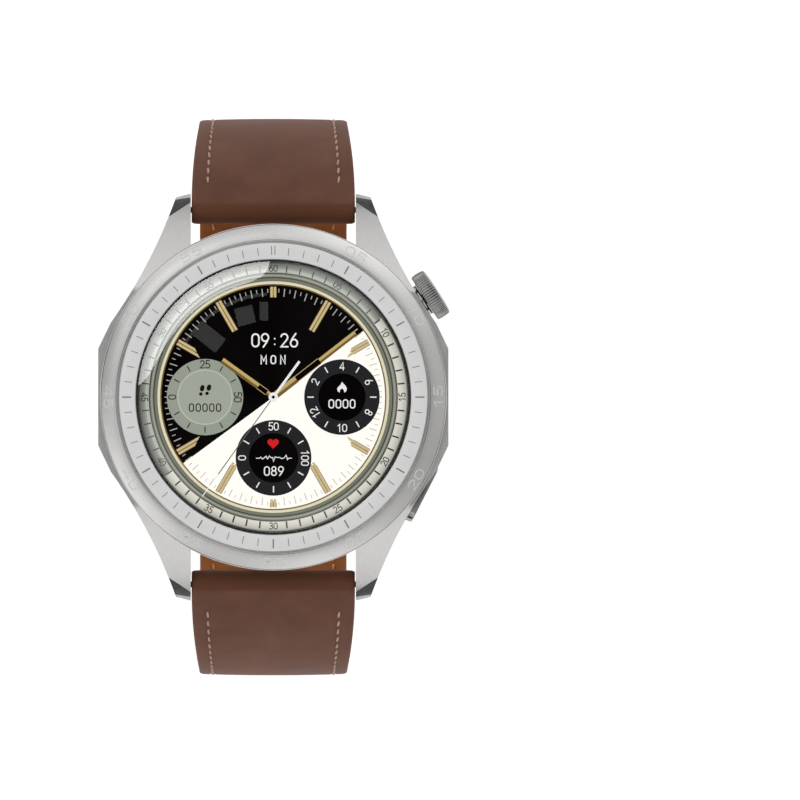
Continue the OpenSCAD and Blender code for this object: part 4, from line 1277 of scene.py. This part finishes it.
# panels of different brightness all round, as between softboxes
PANELS = [0.30, 0.72, 1.0, 0.92, 0.42, 0.40, 0.70, 0.90, 0.72, 0.48, 0.26, 0.34,
          0.50, 0.36, 0.42, 0.95, 1.0, 0.98, 0.42, 0.36, 0.75, 0.80, 0.48, 0.16, 0.30]
WORLD_LEVEL = 1.45
spread = node(world, "ShaderNodeMapRange", **{"From Min": -math.pi, "From Max": math.pi})
link(world, calc(world, "ARCTAN2", split.outputs["Y"], split.outputs["X"]), spread.inputs["Value"])
boost = ramp(world, spread.outputs["Result"],
             [(i / (len(PANELS) - 1), (value,)) for i, value in enumerate(PANELS)])
level = calc(world, "MULTIPLY", calc(world, "MULTIPLY", sky, boost), WORLD_LEVEL)
# seen directly, past the floor's edge, the world is plain white
pick = node(world, "ShaderNodeMix", data_type="FLOAT")
link(world, node(world, "ShaderNodeLightPath").outputs["Is Camera Ray"], pick.inputs["Factor"])
link(world, level, pick.inputs[2])
pick.inputs[3].default_value = 1.0
link(world, pick.outputs[0], background.inputs["Strength"])
background.inputs["Color"].default_value = (1, 0.995, 0.985, 1)


def softbox(name, bearing_deg, tilt, away, width, length, radiance):
    """A rectangular panel that faces the watch, tilt degrees off the vertical; width runs level."""
    data = bpy.data.lights.new(name, "AREA")
    data.shape = "RECTANGLE"
    data.size, data.size_y = width, length
    data.energy = radiance * math.pi * width * length
    obj = add_object(name, data)
    b, t = rad(bearing_deg), rad(tilt)
    back = Vector((math.cos(b) * math.sin(t), math.sin(b) * math.sin(t), math.cos(t)))
    level_x = Vector((-math.sin(b), math.cos(b), 0))
    turn = Matrix((level_x, back.cross(level_x), back)).transposed()
    obj.location = back * away
    obj.rotation_mode = "QUATERNION"
    obj.rotation_quaternion = turn.to_quaternion()
    return obj


softbox("key_wide", 132, 20, 1.12, 0.52, 0.24, 0.6)

# a big level window to the upper left: the domed edge of the glass mirrors it over the minute track
mirror = bpy.data.collections.new("mirror")
mirror.objects.link(glass_piece)
for name, left, right, near, far, radiance in (("window", -1.15, -0.03, 0.1, 1.35, 5.4),
                                               ("window_middle", -0.95, -0.16, 0.25, 1.1, 4.2)):
    window = softbox(name, 0, 0, 1.0, right - left, far - near, radiance)
    window.location = ((left + right) / 2, (near + far) / 2, 1.0)
    window.rotation_quaternion = (1, 0, 0, 0)
    window.light_linking.receiver_collection = mirror

# its far panes stand beside the camera's axis and show in the flat glass: the place, size and
# turn of each pane's image on the glass, in millimetres and degrees
CAMERA_AWAY, PANES_AWAY = 4.5, 12.0  # metres; much further and the other views would be clipped
scale = (1 + PANES_AWAY / CAMERA_AWAY) * MM
PANE_RADIANCE = 0.5
panes = [(-1.25, 11.45, 1.15, 2.5, 0), (-3.75, 10.85, 2.45, 2.4, 14), (-8.55, 8.0, 2.3, 3.9, 52)]
PANE_RING = 14.15
panes += [(PANE_RING * math.cos(rad(a)), PANE_RING * math.sin(rad(a)), 1.7, 1.25, a - 90)
          for a in range(97, 152, 7)]
for i, (pane_x, pane_y, wide, tall, turn_by) in enumerate(panes):
    pane = softbox(f"pane_{i}", 90, 0, PANES_AWAY, wide * scale, tall * scale, PANE_RADIANCE)
    pane.location = (pane_x * scale, pane_y * scale, PANES_AWAY)
    pane.rotation_quaternion = Matrix.Rotation(rad(turn_by), 3, "Z").to_quaternion()
    pane.light_linking.receiver_collection = mirror

camera_data = bpy.data.cameras.new("camera")
camera = add_object("camera", camera_data)
camera_data.sensor_width = 36
camera_data.clip_start = 0.01
camera_data.clip_end = 20
# the photo's frame, its scale at the case's top, and the dial's centre in it
PHOTO_PX, PX_PER_M, DIAL_PX = 800, 7500, (273.3, 397.1)
camera_data.lens = camera_data.sensor_width * CAMERA_AWAY * PX_PER_M / PHOTO_PX
aim = Vector(((PHOTO_PX / 2 - DIAL_PX[0]) / PX_PER_M, (DIAL_PX[1] - PHOTO_PX / 2) / PX_PER_M,
              CASE_TOP * MM))
camera.location = (0, 0, CASE_TOP * MM + CAMERA_AWAY)
way = aim - camera.location
# picture upright along +Y: tip the straight-down camera a little about X, then about Y
camera.rotation_mode = "QUATERNION"
tip_x = math.atan2(way.y, -way.z)
tip_y = -math.atan2(way.x, math.hypot(way.y, way.z))
turn = Matrix.Rotation(tip_x, 3, "X") @ Matrix.Rotation(tip_y, 3, "Y")
camera.rotation_quaternion = turn.to_quaternion()
bpy.context.scene.camera = camera
bpy.context.scene.view_settings.view_transform = "Standard"
